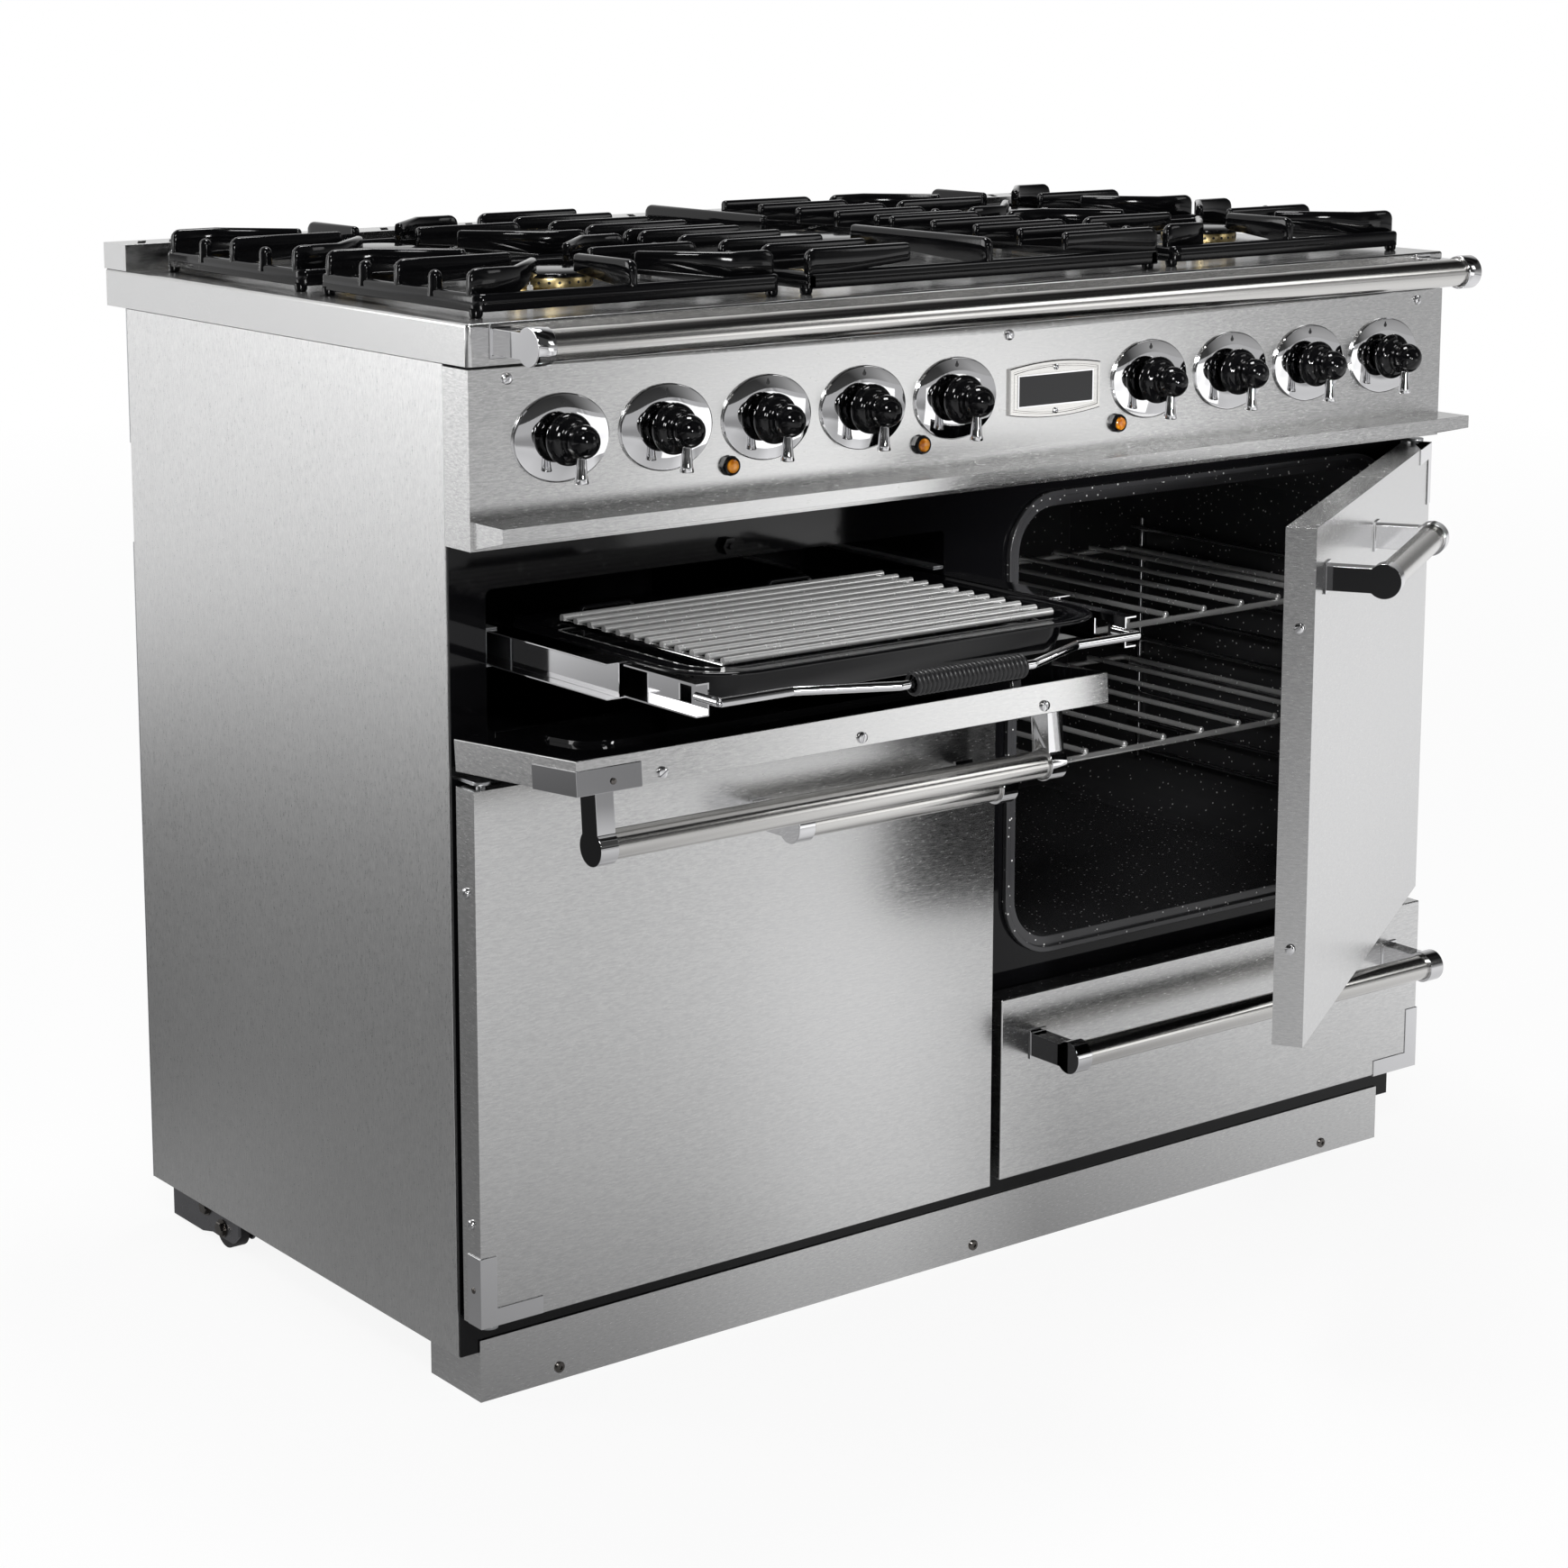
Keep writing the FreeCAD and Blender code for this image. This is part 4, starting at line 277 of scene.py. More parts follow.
def lathe(points, origin, direction, around):
    """Turned shape: (radius, distance) points in mm along a direction."""
    aim = Vector(direction).normalized().to_track_quat("Z", "Y").to_matrix().to_4x4()
    place = Matrix.Translation(Vector(origin) * MM) @ aim

    def build(work):
        rings = []
        for radius, along in points:
            if radius <= 0:
                rings.append([work.verts.new(place @ Vector((0, 0, along * MM)))])
                continue
            rings.append([
                work.verts.new(place @ Vector((
                    radius * MM * math.cos(2 * math.pi * n / around),
                    radius * MM * math.sin(2 * math.pi * n / around),
                    along * MM)))
                for n in range(around)
            ])
        for low, high in zip(rings, rings[1:]):
            for n in range(around):
                m = (n + 1) % around
                if len(low) == 1 and len(high) == 1:
                    continue
                if len(low) == 1:
                    work.faces.new((low[0], high[n], high[m]))
                elif len(high) == 1:
                    work.faces.new((low[n], low[m], high[0]))
                else:
                    work.faces.new((low[n], low[m], high[m], high[n]))
    return mesh_from(build)


def lofted(rings, closed=False, caps=(-1, 0)):
    """Skin over rings of points in mm, with the first and last ring filled or joined."""
    def build(work):
        rows = [[work.verts.new(Vector(point) * MM) for point in ring] for ring in rings]
        pairs = list(zip(rows, rows[1:])) + ([(rows[-1], rows[0])] if closed else [])
        for low, high in pairs:
            for n in range(len(low)):
                m = (n + 1) % len(low)
                work.faces.new((low[n], low[m], high[m], high[n]))
        for index in caps:
            work.faces.new(rows[index])
    return mesh_from(build)


def block(x0, x1, y0, y1, z0, z1):
    """Box between two corners, in mm."""
    corners = ((x0, y0), (x1, y0), (x1, y1), (x0, y1))
    return lofted([[(x, y, z) for x, y in corners] for z in (z0, z1)])


def joined(meshes):
    """One mesh from several, which are used up."""
    work = bmesh.new()
    for mesh in meshes:
        work.from_mesh(mesh)
        bpy.data.meshes.remove(mesh)
    mesh = bpy.data.meshes.new("joined")
    work.to_mesh(mesh)
    work.free()
    return mesh


def wire(runs, radius, name, mat, body, replaced, fillet=12.0):
    """Round rods along runs of straight stretches with rounded corners."""
    curve = bpy.data.curves.new(name, "CURVE")
    curve.dimensions = "3D"
    curve.bevel_depth = radius * MM
    curve.bevel_resolution = 5
    curve.use_fill_caps = True
    bends = 6
    for run in runs:
        route = [Vector(run[0])]
        for before, here, after in zip(run, run[1:], run[2:]):
            before, here, after = Vector(before), Vector(here), Vector(after)
            one, two = before - here, after - here
            reach = min(fillet, one.length * 0.45, two.length * 0.45)
            start = here + one.normalized() * reach
            stop = here + two.normalized() * reach
            for n in range(bends + 1):
                t = n / bends
                route.append(start * (1 - t) ** 2 + here * 2 * t * (1 - t) + stop * t * t)
        route.append(Vector(run[-1]))
        spline = curve.splines.new("POLY")
        spline.points.add(len(route) - 1)
        for point, place in zip(spline.points, route):
            point.co = (*(place * MM), 1)
        spline.use_smooth = True
    curve.materials.append(M[mat])
    return register(bpy.data.objects.new(name, curve), body, replaced)


# CAD nodes: the material of each node, and the rounding in mm of those that stay visible
LOOK = {
    "hob_top": "top", "rear_vent": "top", "side_panels": "side", "back_panel": "zinc",
    "base_tray": "zinc", "plinth": "front", "control_panel": "front", "drip_rail": "front",
    "hand_rail": "satin", "rail_brackets": "chrome", "trim_screws": "chrome",
    "badge_plate": "front", "knob_bezels": "chrome", "indicator_lamps": "amber",
    "front_frame": "enamel", "oven_liners": "oven", "grill_liner": "enamel",
    "shelf_ladders": "chrome", "oven_shelves": "rod", "grill_element": "zinc",
    "burner_rings": "brass", "burner_caps": "cast", "pan_supports_left": "cast",
    "pan_supports_centre": "cast", "pan_supports_right": "cast", "gas_pipework": "zinc",
    "control_valves": "brass", "floor_fittings": "steel", "fixed_runners": "zinc",
    "door_hinges": "zinc", "fan_motors": "zinc", "grill_door_skin": "front",
    "grill_door_liner": "enamel", "grill_door_trim": "satin", "runner_mid_rails": "chrome",
    "carriage_frame": "chrome", "handle_grip": "rubber", "grill_pan": "enamel",
    "grill_rack": "rod", "left_door_skin": "front", "left_door_liner": "enamel",
    "left_door_trim": "satin", "right_door_skin": "front", "right_door_liner": "enamel",
    "right_door_trim": "satin", "drawer_front": "front", "drawer_box": "zinc",
    "drawer_trim": "satin", "rear_rollers": "rubber", "fan_left": "alu", "fan_right": "alu",
}
ROUND = {
    "hob_top": 1.6, "rear_vent": 0.8, "side_panels": 0.5, "plinth": 0.6,
    "control_panel": 1.0, "drip_rail": 0.4, "rail_brackets": 0.9,
    "front_frame": 0.8, "oven_liners": 1.2, "grill_liner": 0.8,
    "grill_door_skin": 1.4, "left_door_skin": 1.6, "right_door_skin": 1.6, "drawer_front": 1.6,
    "grill_door_liner": 1.0, "left_door_liner": 1.0, "right_door_liner": 1.0,
    "runner_mid_rails": 0.3, "floor_fittings": 0.5,
    "door_hinges": 0.4, "drawer_box": 0.5,
}


def soften(obj, width):
    """Weld and flatten a node's triangles, then round its edges."""
    weld = obj.modifiers.new("join", "WELD")
    weld.merge_threshold = 0.00002
    flat = obj.modifiers.new("flat", "DECIMATE")
    flat.decimate_type = "DISSOLVE"
    flat.angle_limit = math.radians(0.6)
    edge_round(obj, width)


for node, obj in frame["nodes"].items():
    look = LOOK.get(node, "black")
    if not obj.material_slots:
        obj.data.materials.append(M[look])
    for held in obj.material_slots:
        held.material = M[look]
    if node in ROUND:
        soften(obj, ROUND[node])


# knobs and fascia
def knobs():
    """Black knobs with a round nose, a polished lever and a stepped white mark."""
    nose, reach, foot_angle, steps = 13.6, 28.5, -17, 12
    profile = [(0, 0.4), (12.4, 0.4), (13, 1), (13, 2.6), (15.2, 3.2), (17.6, 4.2), (19.5, 5.8),
               (20.6, 7.8), (20.9, 9.6), (20.7, 11.6), (20.0, 13.4), (18.9, 14.9), (17.4, 16.1),
               (15.7, 16.9), (14.3, 17.3), (13.6, 17.9), (13.9, 18.4), (13.9, 20.6),
               (13.4, 21.2), (12.5, 21.6), (12.4, 22.6), (12.7, 23.6)]
    for step in range(1, steps + 1):
        angle = math.radians(foot_angle + (90 - foot_angle) * step / steps)
        profile.append((max(nose * math.cos(angle), 0), reach + nose * math.sin(angle)))
    lever_out, mark_half = 26, 0.55
    lever_profile = [(3.4, 9), (3.9, 13), (4.3, 20), (5.0, 28), (5.8, 32.2), (5.5, 32.9),
                     (4.6, 33), (0, 33)]
    # the mark's three steps: distances from the bezel, heights over the knob's middle
    mark_steps = ((11.4, 7, 20.4, 20.9), (15.6, 13.4, 17.1, 17.6), (13.3, 12.6, 17.4, 19.2))
    for number, x in enumerate(KNOB_X, start=1):
        body = "knob_%d" % number
        finish_piece(body + "_body", lathe(profile, (x, BEZEL_FACE, KNOB_Z), FORWARD, 64),
                     "black", body, (body,), 70)
        lever = lathe(lever_profile, (x, BEZEL_FACE - lever_out, KNOB_Z), (0, 0, -1), 32)
        finish_piece(body + "_lever", lever, "chrome", body, (), 35)
        mark = joined([
            block(x - mark_half, x + mark_half, BEZEL_FACE - far, BEZEL_FACE - near,
                  KNOB_Z + low, KNOB_Z + high)
            for far, near, low, high in mark_steps
        ])
        finish_piece(body + "_mark", mark, "white", body, (), 0)


def bezels():
    """Polished oval plates with a raised rim, and a plain dot at the off position."""
    # half width, half height and distance from the panel of each ring
    section = ((45, 35, 0), (45, 35, 1.7), (44.4, 34.4, 2.3), (43.6, 33.6, 2.5),
               (13.4, 13.4, 2.5), (13.4, 13.4, 0.6))
    count = 72
    turns = [2 * math.pi * n / count for n in range(count)]
    ovals = []
    for x in KNOB_X:
        ovals.append(lofted([
            [(x + half_x * math.cos(turn), FRONT - out, KNOB_Z + half_z * math.sin(turn))
             for turn in turns]
            for half_x, half_z, out in section
        ], caps=()))
    finish_piece("bezel_ovals", joined(ovals), "mirror", "cooker", ("knob_bezels",), 30)
    dot_up, dot_radius, dash_low, dash_high, dash_half, proud = 28.6, 1.9, 30.2, 31.9, 0.7, 0.12
    dots = []
    for x in KNOB_X:
        dots.append(lathe([(0, 0), (dot_radius, 0), (dot_radius, proud), (0, proud)],
                          (x, BEZEL_FACE, KNOB_Z + dot_up), FORWARD, 24))
        dots.append(block(x - dash_half, x + dash_half, BEZEL_FACE - proud, BEZEL_FACE,
                          KNOB_Z + dash_low, KNOB_Z + dash_high))
    finish_piece("bezel_dots", joined(dots), "dark", "cooker", (), 0)


def indicator_lamps():
    """Amber lenses in a six-sided nut and a round rim."""
    lamp_x, lamp_z = (-298.5, -97.7, 127.3), 753.5
    nut = [(8.6, 0), (8.6, 2.6), (8.1, 3.2), (6.9, 3.2), (6.6, 2.6), (6.6, 0.5)]
    rim = [(8.2, 3), (7.4, 5.4), (6.2, 5.6), (5.7, 5.0), (5.7, 3)]
    lens = [(5.7, 0.5), (5.7, 5.0), (5.3, 6.2), (3.9, 6.8), (2.0, 7.0), (0, 7.0)]
    lenses, rims = [], []
    for x in lamp_x:
        spot = (x, FRONT, lamp_z)
        rims.append(lathe(nut, spot, FORWARD, 6))
        rims.append(lathe(rim, spot, FORWARD, 40))
        lenses.append(lathe(lens, spot, FORWARD, 40))
    finish_piece("lamp_lenses", joined(lenses), "amber", "cooker", ("indicator_lamps",), 40)
    finish_piece("lamp_rims", joined(rims), "black", "cooker", (), 30)


def screw_mesh(spot, direction, radius, height, turn):
    """Slotted round head; the slot is cut as a channel between two half domes."""
    aim = Vector(direction).normalized().to_track_quat("Z", "Y").to_matrix().to_4x4()
    place = (Matrix.Translation(Vector(spot) * MM) @ aim
             @ Matrix.Rotation(math.radians(turn), 4, "Z"))
    slot, floor = 0.55, height * 0.45
    steps, around = 14, 24
    dome = ((1.0, 0.0), (1.0, 0.45), (0.93, 0.75), (0.72, 0.93), (0.4, 1.0))

    def vert(work, radius, angle, z, side=1):
        flat = Vector((radius * math.cos(angle), side * radius * math.sin(angle), z))
        return work.verts.new(place @ (flat * MM))

    def build(work):
        for side in (1, -1):
            rows = []
            for share, lift in dome:
                r = radius * share
                start = math.asin(min(slot / r, 1))
                rows.append([vert(work, r, start + (math.pi - 2 * start) * n / steps,
                                  height * lift, side) for n in range(steps + 1)])
            for low, high in zip(rows, rows[1:]):
                for n in range(steps):
                    work.faces.new((low[n], low[n + 1], high[n + 1], high[n]))
            work.faces.new(rows[-1])
            work.faces.new([row[0] for row in rows] + [row[-1] for row in reversed(rows)])
        work.faces.new([vert(work, radius * 0.98, 2 * math.pi * n / around, floor)
                        for n in range(around)])
    return mesh_from(build)


def fascia_screws():
    """Slotted screws under the hand rail, dark cross-headed ones in the plinth."""
    rail_screw_z, plinth_face, plinth_screw_z, head = 839.6, -12, 11, 4.8
    slotted = [screw_mesh((x, FRONT, rail_screw_z), FORWARD, 4.6, 2.6, turn)
               for x, turn in ((-511, 40), (0, 130), (511, 70))]
    finish_piece("fascia_screws", joined(slotted), "chrome", "cooker", ("trim_screws",), 35)
    dished = [(head, 0), (head, 0.9), (head * 0.8, 2.0), (head * 0.36, 2.4), (head * 0.3, 1.2),
              (0, 1.0)]
    dark = [lathe(dished, (x, plinth_face, plinth_screw_z), FORWARD, 24) for x in (-450, 0, 450)]
    finish_piece("plinth_screws", joined(dark), "smoke", "cooker", (), 35)


def badge():
    """Blank badge: bowed polished plate, dark sunk panel with a fine raised border."""
    middle, half_width, bottom, top = 52, 52.5, 765.5, 814.5
    bow, steps = 8.0 * 0.55, 20

    def outline(shrink):
        half = half_width - shrink
        shares = [-1 + 2 * n / steps for n in range(steps + 1)]
        upper = [(middle + half * t, top - shrink - bow * t * t) for t in shares]
        return upper + [(middle - half * t, bottom + shrink + bow * t * t) for t in shares]

    # how far each ring is drawn in, and its distance from the panel
    section = ((0, 0), (0, 2.2), (0.8, 3), (3.2, 3), (3.6, 2.5), (4.6, 2.5), (5.0, 2.9))
    plate = lofted([[(a, FRONT - out, b) for a, b in outline(shrink)] for shrink, out in section],
                   caps=(-1,))
    finish_piece("badge_frame", plate, "satin", "cooker", ("badge_plate",), 30)

    left, right, low, high = 9.5, 94.5, 777, 803
    panel = block(left, right, FRONT - 3.15, FRONT - 2.0, low, high)
    panel = finish_piece("badge_panel", panel, "dark", "cooker", (), 30)
    edge_round(panel, 0.4)
    side, rim, front, rear = 1.3, 1.2, FRONT - 3.5, FRONT - 2.5
    border = joined([
        block(left - side, right + side, front, rear, high, high + rim),
        block(left - side, right + side, front, rear, low - rim, low),
        block(left - side, left, front, rear, low, high),
        block(right, right + side, front, rear, low, high),
    ])
    finish_piece("badge_border", border, "chrome", "cooker", (), 0)
    pins = [screw_mesh((middle, FRONT - 2.9, z), FORWARD, 2.6, 1.3, turn)
            for z, turn in ((809, 60), (771, 30))]
    finish_piece("badge_screws", joined(pins), "chrome", "cooker", (), 35)


# hob
def rounded_ring(x0, x1, y0, y1, corner, z, steps=8):
    """Points of a level rectangle with round corners."""
    points = []
    for cx, cy, start in ((x1 - corner, y1 - corner, 0), (x0 + corner, y1 - corner, 90),
                          (x0 + corner, y0 + corner, 180), (x1 - corner, y0 + corner, 270)):
        for n in range(steps + 1):
            angle = math.radians(start + 90 * n / steps)
            points.append((cx + corner * math.cos(angle), cy + corner * math.sin(angle), z))
    return points


# burners: place, and how much larger the middle one's radius is
BURNER_X = 370
BURNER_ROWS = (105, 375)
BURNERS = [(x, y, 0) for x in (-BURNER_X, BURNER_X) for y in BURNER_ROWS] + [(0, 240, 18)]


def burners():
    """Crowns with dark discs of painted shade where the ports are, enamelled lids, and spark plugs
    beside them.
    """
    port_z, port_radius, port_depth = 897.0, 1.35, 0.16
    crowns, port_shade_discs, lids, plugs, tips = [], [], [], [], []
    for x, y, extra in BURNERS:
        r = 35.5 + extra
        crowns.append(lathe([(r + 7, 884.2), (r + 7, 886.4), (r + 3, 888), (r - 3, 888.6),
                             (r - 4, 891), (r - 0.6, 892.4), (r, 893.2), (r, 900.4),
                             (r - 0.4, 901), (0, 901)], (x, y, 0), UP, 72))
        # the ports are thin dark discs on the crown's side: painted shade where holes would be
        count = 38 if extra else 26
        for n in range(count):
            angle = 2 * math.pi * n / count
            out = (math.cos(angle), math.sin(angle), 0)
            port_shade_discs.append(lathe([(port_radius, 0), (port_radius, port_depth), (0, port_depth)],
                               (x + r * out[0], y + r * out[1], port_z), out, 8))
        lids.append(lathe([(0, 901.2), (r - 2, 901.2), (r + 1.2, 901.6), (r + 1.5, 902.6),
                           (r + 1.2, 904.3), (r - 1, 905.6), (r - 5, 906.6), (r - 14, 907.3),
                           (0, 907.5)], (x, y, 0), UP, 64))
        # spark plugs: the angle where each stands, and the height of its tip
        for angle, tip in ((215, 903), (35, 899)):
            a = math.radians(angle)
            spot = (x + (r + 9) * math.cos(a), y + (r + 9) * math.sin(a), 0)
            plugs.append(lathe([(2.6, 876), (2.6, tip - 9), (1.9, tip - 7), (0, tip - 7)],
                               spot, UP, 16))
            tips.append(lathe([(0.8, tip - 8), (0.8, tip - 0.6), (0, tip)], spot, UP, 10))
    finish_piece("burner_crowns", joined(crowns), "brass", "cooker", ("burner_rings",), 35)
    finish_piece("burner_ports_painted_shade", joined(port_shade_discs), "dark", "cooker", (), 0)
    finish_piece("burner_lids", joined(lids), "cast", "cooker", ("burner_caps",), 40)
    finish_piece("spark_plugs", joined(plugs), "white", "cooker", (), 35)
    finish_piece("spark_tips", joined(tips), "chrome", "cooker", (), 35)


def bar(path, low, nose_low, high, thick=7.2, start_round=8.0, stop_round=3.0):
    """Cast bar along a flat path, with rounded top edges and ends and a rising underside."""
    spots = [Vector(point) for point in path]
    runs = [(b - a).length for a, b in zip(spots, spots[1:])]
    length = sum(runs)
    stations = {0.0, 0.5, 1.4, 3.0, 5.2, 8.0, length - 3.0, length - 1.4, length - 0.5, length}
    for n in range(len(runs)):
        stations.add(sum(runs[:n]))

    def dip(distance, radius):
        if distance >= radius:
            return 0.0
        return radius - math.sqrt(radius ** 2 - (radius - distance) ** 2)

    rings = []
    for s in sorted(stations):
        done, n = 0.0, 0
        while n < len(runs) - 1 and s > done + runs[n]:
            done += runs[n]
            n += 1
        way = (spots[n + 1] - spots[n]).normalized()
        here = spots[n] + way * (s - done)
        across = Vector((-way.y, way.x))
        if n + 1 < len(runs) and abs(s - done - runs[n]) < 0.01:
            after = (spots[n + 2] - spots[n + 1]).normalized()
            turn = Vector((-after.y, after.x))
            across = (across + turn) / (1 + across.dot(turn))
        top = high - dip(s, start_round) - dip(length - s, stop_round)
        base = low + (nose_low - low) * s / length
        half = thick / 2 - dip(s, 1.4) - dip(length - s, 1.4)
        r = min(2.5, half * 0.9)
        section = [(-half, base + 1), (-half, top - r), (-half + 0.3 * r, top - 0.3 * r),
                   (-half + r, top), (half - r, top), (half - 0.3 * r, top - 0.3 * r),
                   (half, top - r), (half, base + 1), (half - 1, base), (1 - half, base)]
        rings.append([(here.x + across.x * u, here.y + across.y * u, v) for u, v in section])
    return lofted(rings)


# pan supports: heights of the fins' underside at foot and nose, of their tops, and of the frames
FIN_LOW = 897.0
FIN_NOSE = 906.0
SUPPORT_TOP = 921.0
FRAME_LOW = 888.0
FRAME_TOP = 902.0


def cast_frame(x0, x1, y0, y1):
    """Cast rectangular frame with rounded edges."""
    low, high, width, corner = FRAME_LOW, FRAME_TOP, 9.0, 9.0
    rings = []
    for inset, z in ((0, low + 1), (0, high - 2.6), (0.8, high - 0.8), (2.6, high),
                     (width - 2.6, high), (width - 0.8, high - 0.8), (width, high - 2.6),
                     (width, low + 1), (width - 1, low), (1, low)):
        rings.append(rounded_ring(x0 + inset, x1 - inset, y0 + inset, y1 - inset,
                                  max(corner - inset, 1.5), z))
    return lofted(rings, closed=True, caps=())


def fin(*path):
    """Fin along a path, whose underside rises towards its nose."""
    return bar(path, FIN_LOW, FIN_NOSE, SUPPORT_TOP)


def rail(*path):
    """Level bar of a frame."""
    return bar(path, FRAME_LOW, FRAME_LOW, FRAME_TOP, 9, 3.0, 3.0)


def foot(x, y):
    """Round foot that stands on the hob."""
    return lathe([(0, 883.5), (4.2, 883.5), (5.2, 884.6), (5.6, 890)], (x, y, 0), UP, 24)


def side_support(side):
    """Cast frames round the two burners of a side, with fins, ball lugs and feet."""
    half_x, half_y, edge_x, edge_y, inner = 148, 121, 147.6, 120.6, 39
    corner_y, bend_x, nose = 107, 104, 50
    lug_x, lug_y, foot_y = 143.5, 53, 112
    ball, ball_z, flat_top = 5.5, 911, 916.5
    dome = [(ball * math.cos(a), ball_z + ball * math.sin(a))
            for a in [math.radians(15 * n) for n in range(6)]]
    lug = [(6.4, 896), (5.5, 904)] + dome + [(0, flat_top)]
    parts = []
    for y, outward in zip(BURNER_ROWS, (-1, 1)):
        x = side * BURNER_X
        parts.append(cast_frame(x - half_x, x + half_x, y - half_y, y + half_y))
        for across in (-1, 1):
            parts.append(fin((x + across * edge_x, y), (x + across * inner, y)))
            for along in (-1, 1):
                parts.append(fin((x + across * edge_x, y + along * corner_y),
                                 (x + across * bend_x, y + along * corner_y),
                                 (x + across * nose, y + along * nose)))
                spot = (x + across * lug_x, y + along * lug_y, 0)
                parts.append(lathe(lug, spot, UP, 28))
                parts.append(foot(x + across * lug_x, y + along * foot_y))
        parts.append(fin((x, y + outward * edge_y), (x, y + outward * inner)))
    return joined(parts)


def middle_support():
    """Two frames over the middle burner, one from the front and one from the back."""
    rail_x, edge_x, inner_x, reach, nose = 193.5, 197.6, 88, 247, 188.5
    first, pitch, count, foot_in, overlap = 4.5, 59.5, 5, 9, 0.4
    parts = []
    for edge, along in ((-20, 1), (487, -1)):
        far = edge + along * reach
        for across in (-1, 1):
            x = across * rail_x
            parts.append(rail((x, edge), (x, far)))
            for n in range(count):
                y = edge + along * (first + n * pitch)
                parts.append(fin((across * edge_x, y), (across * inner_x, y)))
            for y in (edge + along * foot_in, far - along * foot_in):
                parts.append(foot(x, y))
        parts.append(rail((-edge_x, edge + along * first), (edge_x, edge + along * first)))
        parts.append(fin((0, edge + along * overlap), (0, edge + along * nose)))
    return joined(parts)


def supports():
    """The cast pieces in place of the three pan support nodes."""
    for node, mesh in (("pan_supports_left", side_support(-1)),
                       ("pan_supports_right", side_support(1)),
                       ("pan_supports_centre", middle_support())):
        finish_piece(node + "_cast", mesh, "cast", NODE_BODY[node], (node,), 50)


# grill carriage
def grip():
    """Ribbed sleeve round the carriage's wire handle."""
    count, length, radius, bore = 25, 110.0, 9.5, 6.9
    start = GRILL_MIDDLE - length / 2
    rib = length / count
    outline = [(bore, 0), (radius - 1.4, 0.2)]
    for n in range(count):
        a = length * n / count
        outline += [(radius - 1.5, a + 0.1 * rib), (radius - 0.25, a + 0.32 * rib),
                    (radius, a + 0.5 * rib), (radius - 0.25, a + 0.68 * rib),
                    (radius - 1.5, a + 0.9 * rib)]
    outline += [(radius - 1.4, length - 0.2), (bore, length)]
    box_low, box_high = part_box("handle_grip")
    centre = (box_low + box_high) / 2 / MM
    finish_piece("grip_sleeve", lathe(outline, (start, centre.y, centre.z), (1, 0, 0), 40),
                 "rubber", "grill_carriage", ("handle_grip",), 50)


def pan():
    """Enamelled pan with a drafted bowl, a pressed channel and a rolled rim."""
    x0, x1, y0, y1 = -484.9, -65.9, -260.0, 30.0
    # from the outer underside over the rim to the floor: inset, height, corner radius
    section = (
        (34, 606.4, 26), (29.6, 608.6, 28), (25.5, 622, 30), (22.6, 634.4, 33), (6, 635.2, 50),
        (1.6, 634.6, 54), (0.3, 635.2, 55), (0, 636.0, 55), (0.7, 637.1, 54.5), (2.6, 637.4, 53),
        (6, 637.0, 50), (12, 636.4, 44), (19, 637.1, 37), (22.4, 637.2, 34), (24.6, 635.6, 32),
        (27, 622.5, 29), (31, 610, 27), (35.5, 607.8, 25), (60, 607.6, 12),
    )
    rings = [rounded_ring(x0 + inset, x1 - inset, y0 + inset, y1 - inset, corner, height)
             for inset, height, corner in section]
    finish_piece("pan_bowl", lofted(rings), "enamel", "grill_carriage", ("grill_pan",), 60)


def rack():
    """Bright rods with round ends, side rails with legs, and two lifting loops."""
    count, pitch, nearest = 12, 19.5, FRONT - 181
    rod_radius, rail_radius, loop_radius = 3.05, 2.3, 2.0
    rod_z, rail_z, leg_top, leg_foot = 639.6, 636.2, 636.5, 609.0
    leg_y, loop_x = (FRONT - 155, FRONT + 7.5), ((-421, -368), (-232, -186))
    low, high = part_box("grill_rack")
    first, last = low.x / MM, high.x / MM
    rods = [[(first + 1.5, nearest + pitch * n, rod_z), (last - 1.5, nearest + pitch * n, rod_z)]
            for n in range(count)]
    wire(rods, rod_radius, "rack_rods", "rod", "grill_carriage", ("grill_rack",))
    rails = []
    for x in (first + 3.1, last - 3.1):
        rails.append([(x, nearest, rail_z), (x, nearest + pitch * (count - 1), rail_z)])
        for y in leg_y:
            rails.append([(x, y, leg_top), (x, y, leg_foot)])
    wire(rails, rail_radius, "rack_rails", "chrome", "grill_carriage", ())
    base_y, base_z, top_y, top_z, lean = -11.5, 637.5, -8, 645, 2
    loops = [[(a, base_y, base_z), (a + lean, top_y, top_z), (b - lean, top_y, top_z),
              (b, base_y, base_z)] for a, b in loop_x]
    wire(loops, loop_radius, "rack_loops", "enamel", "grill_carriage", (), 5.0)


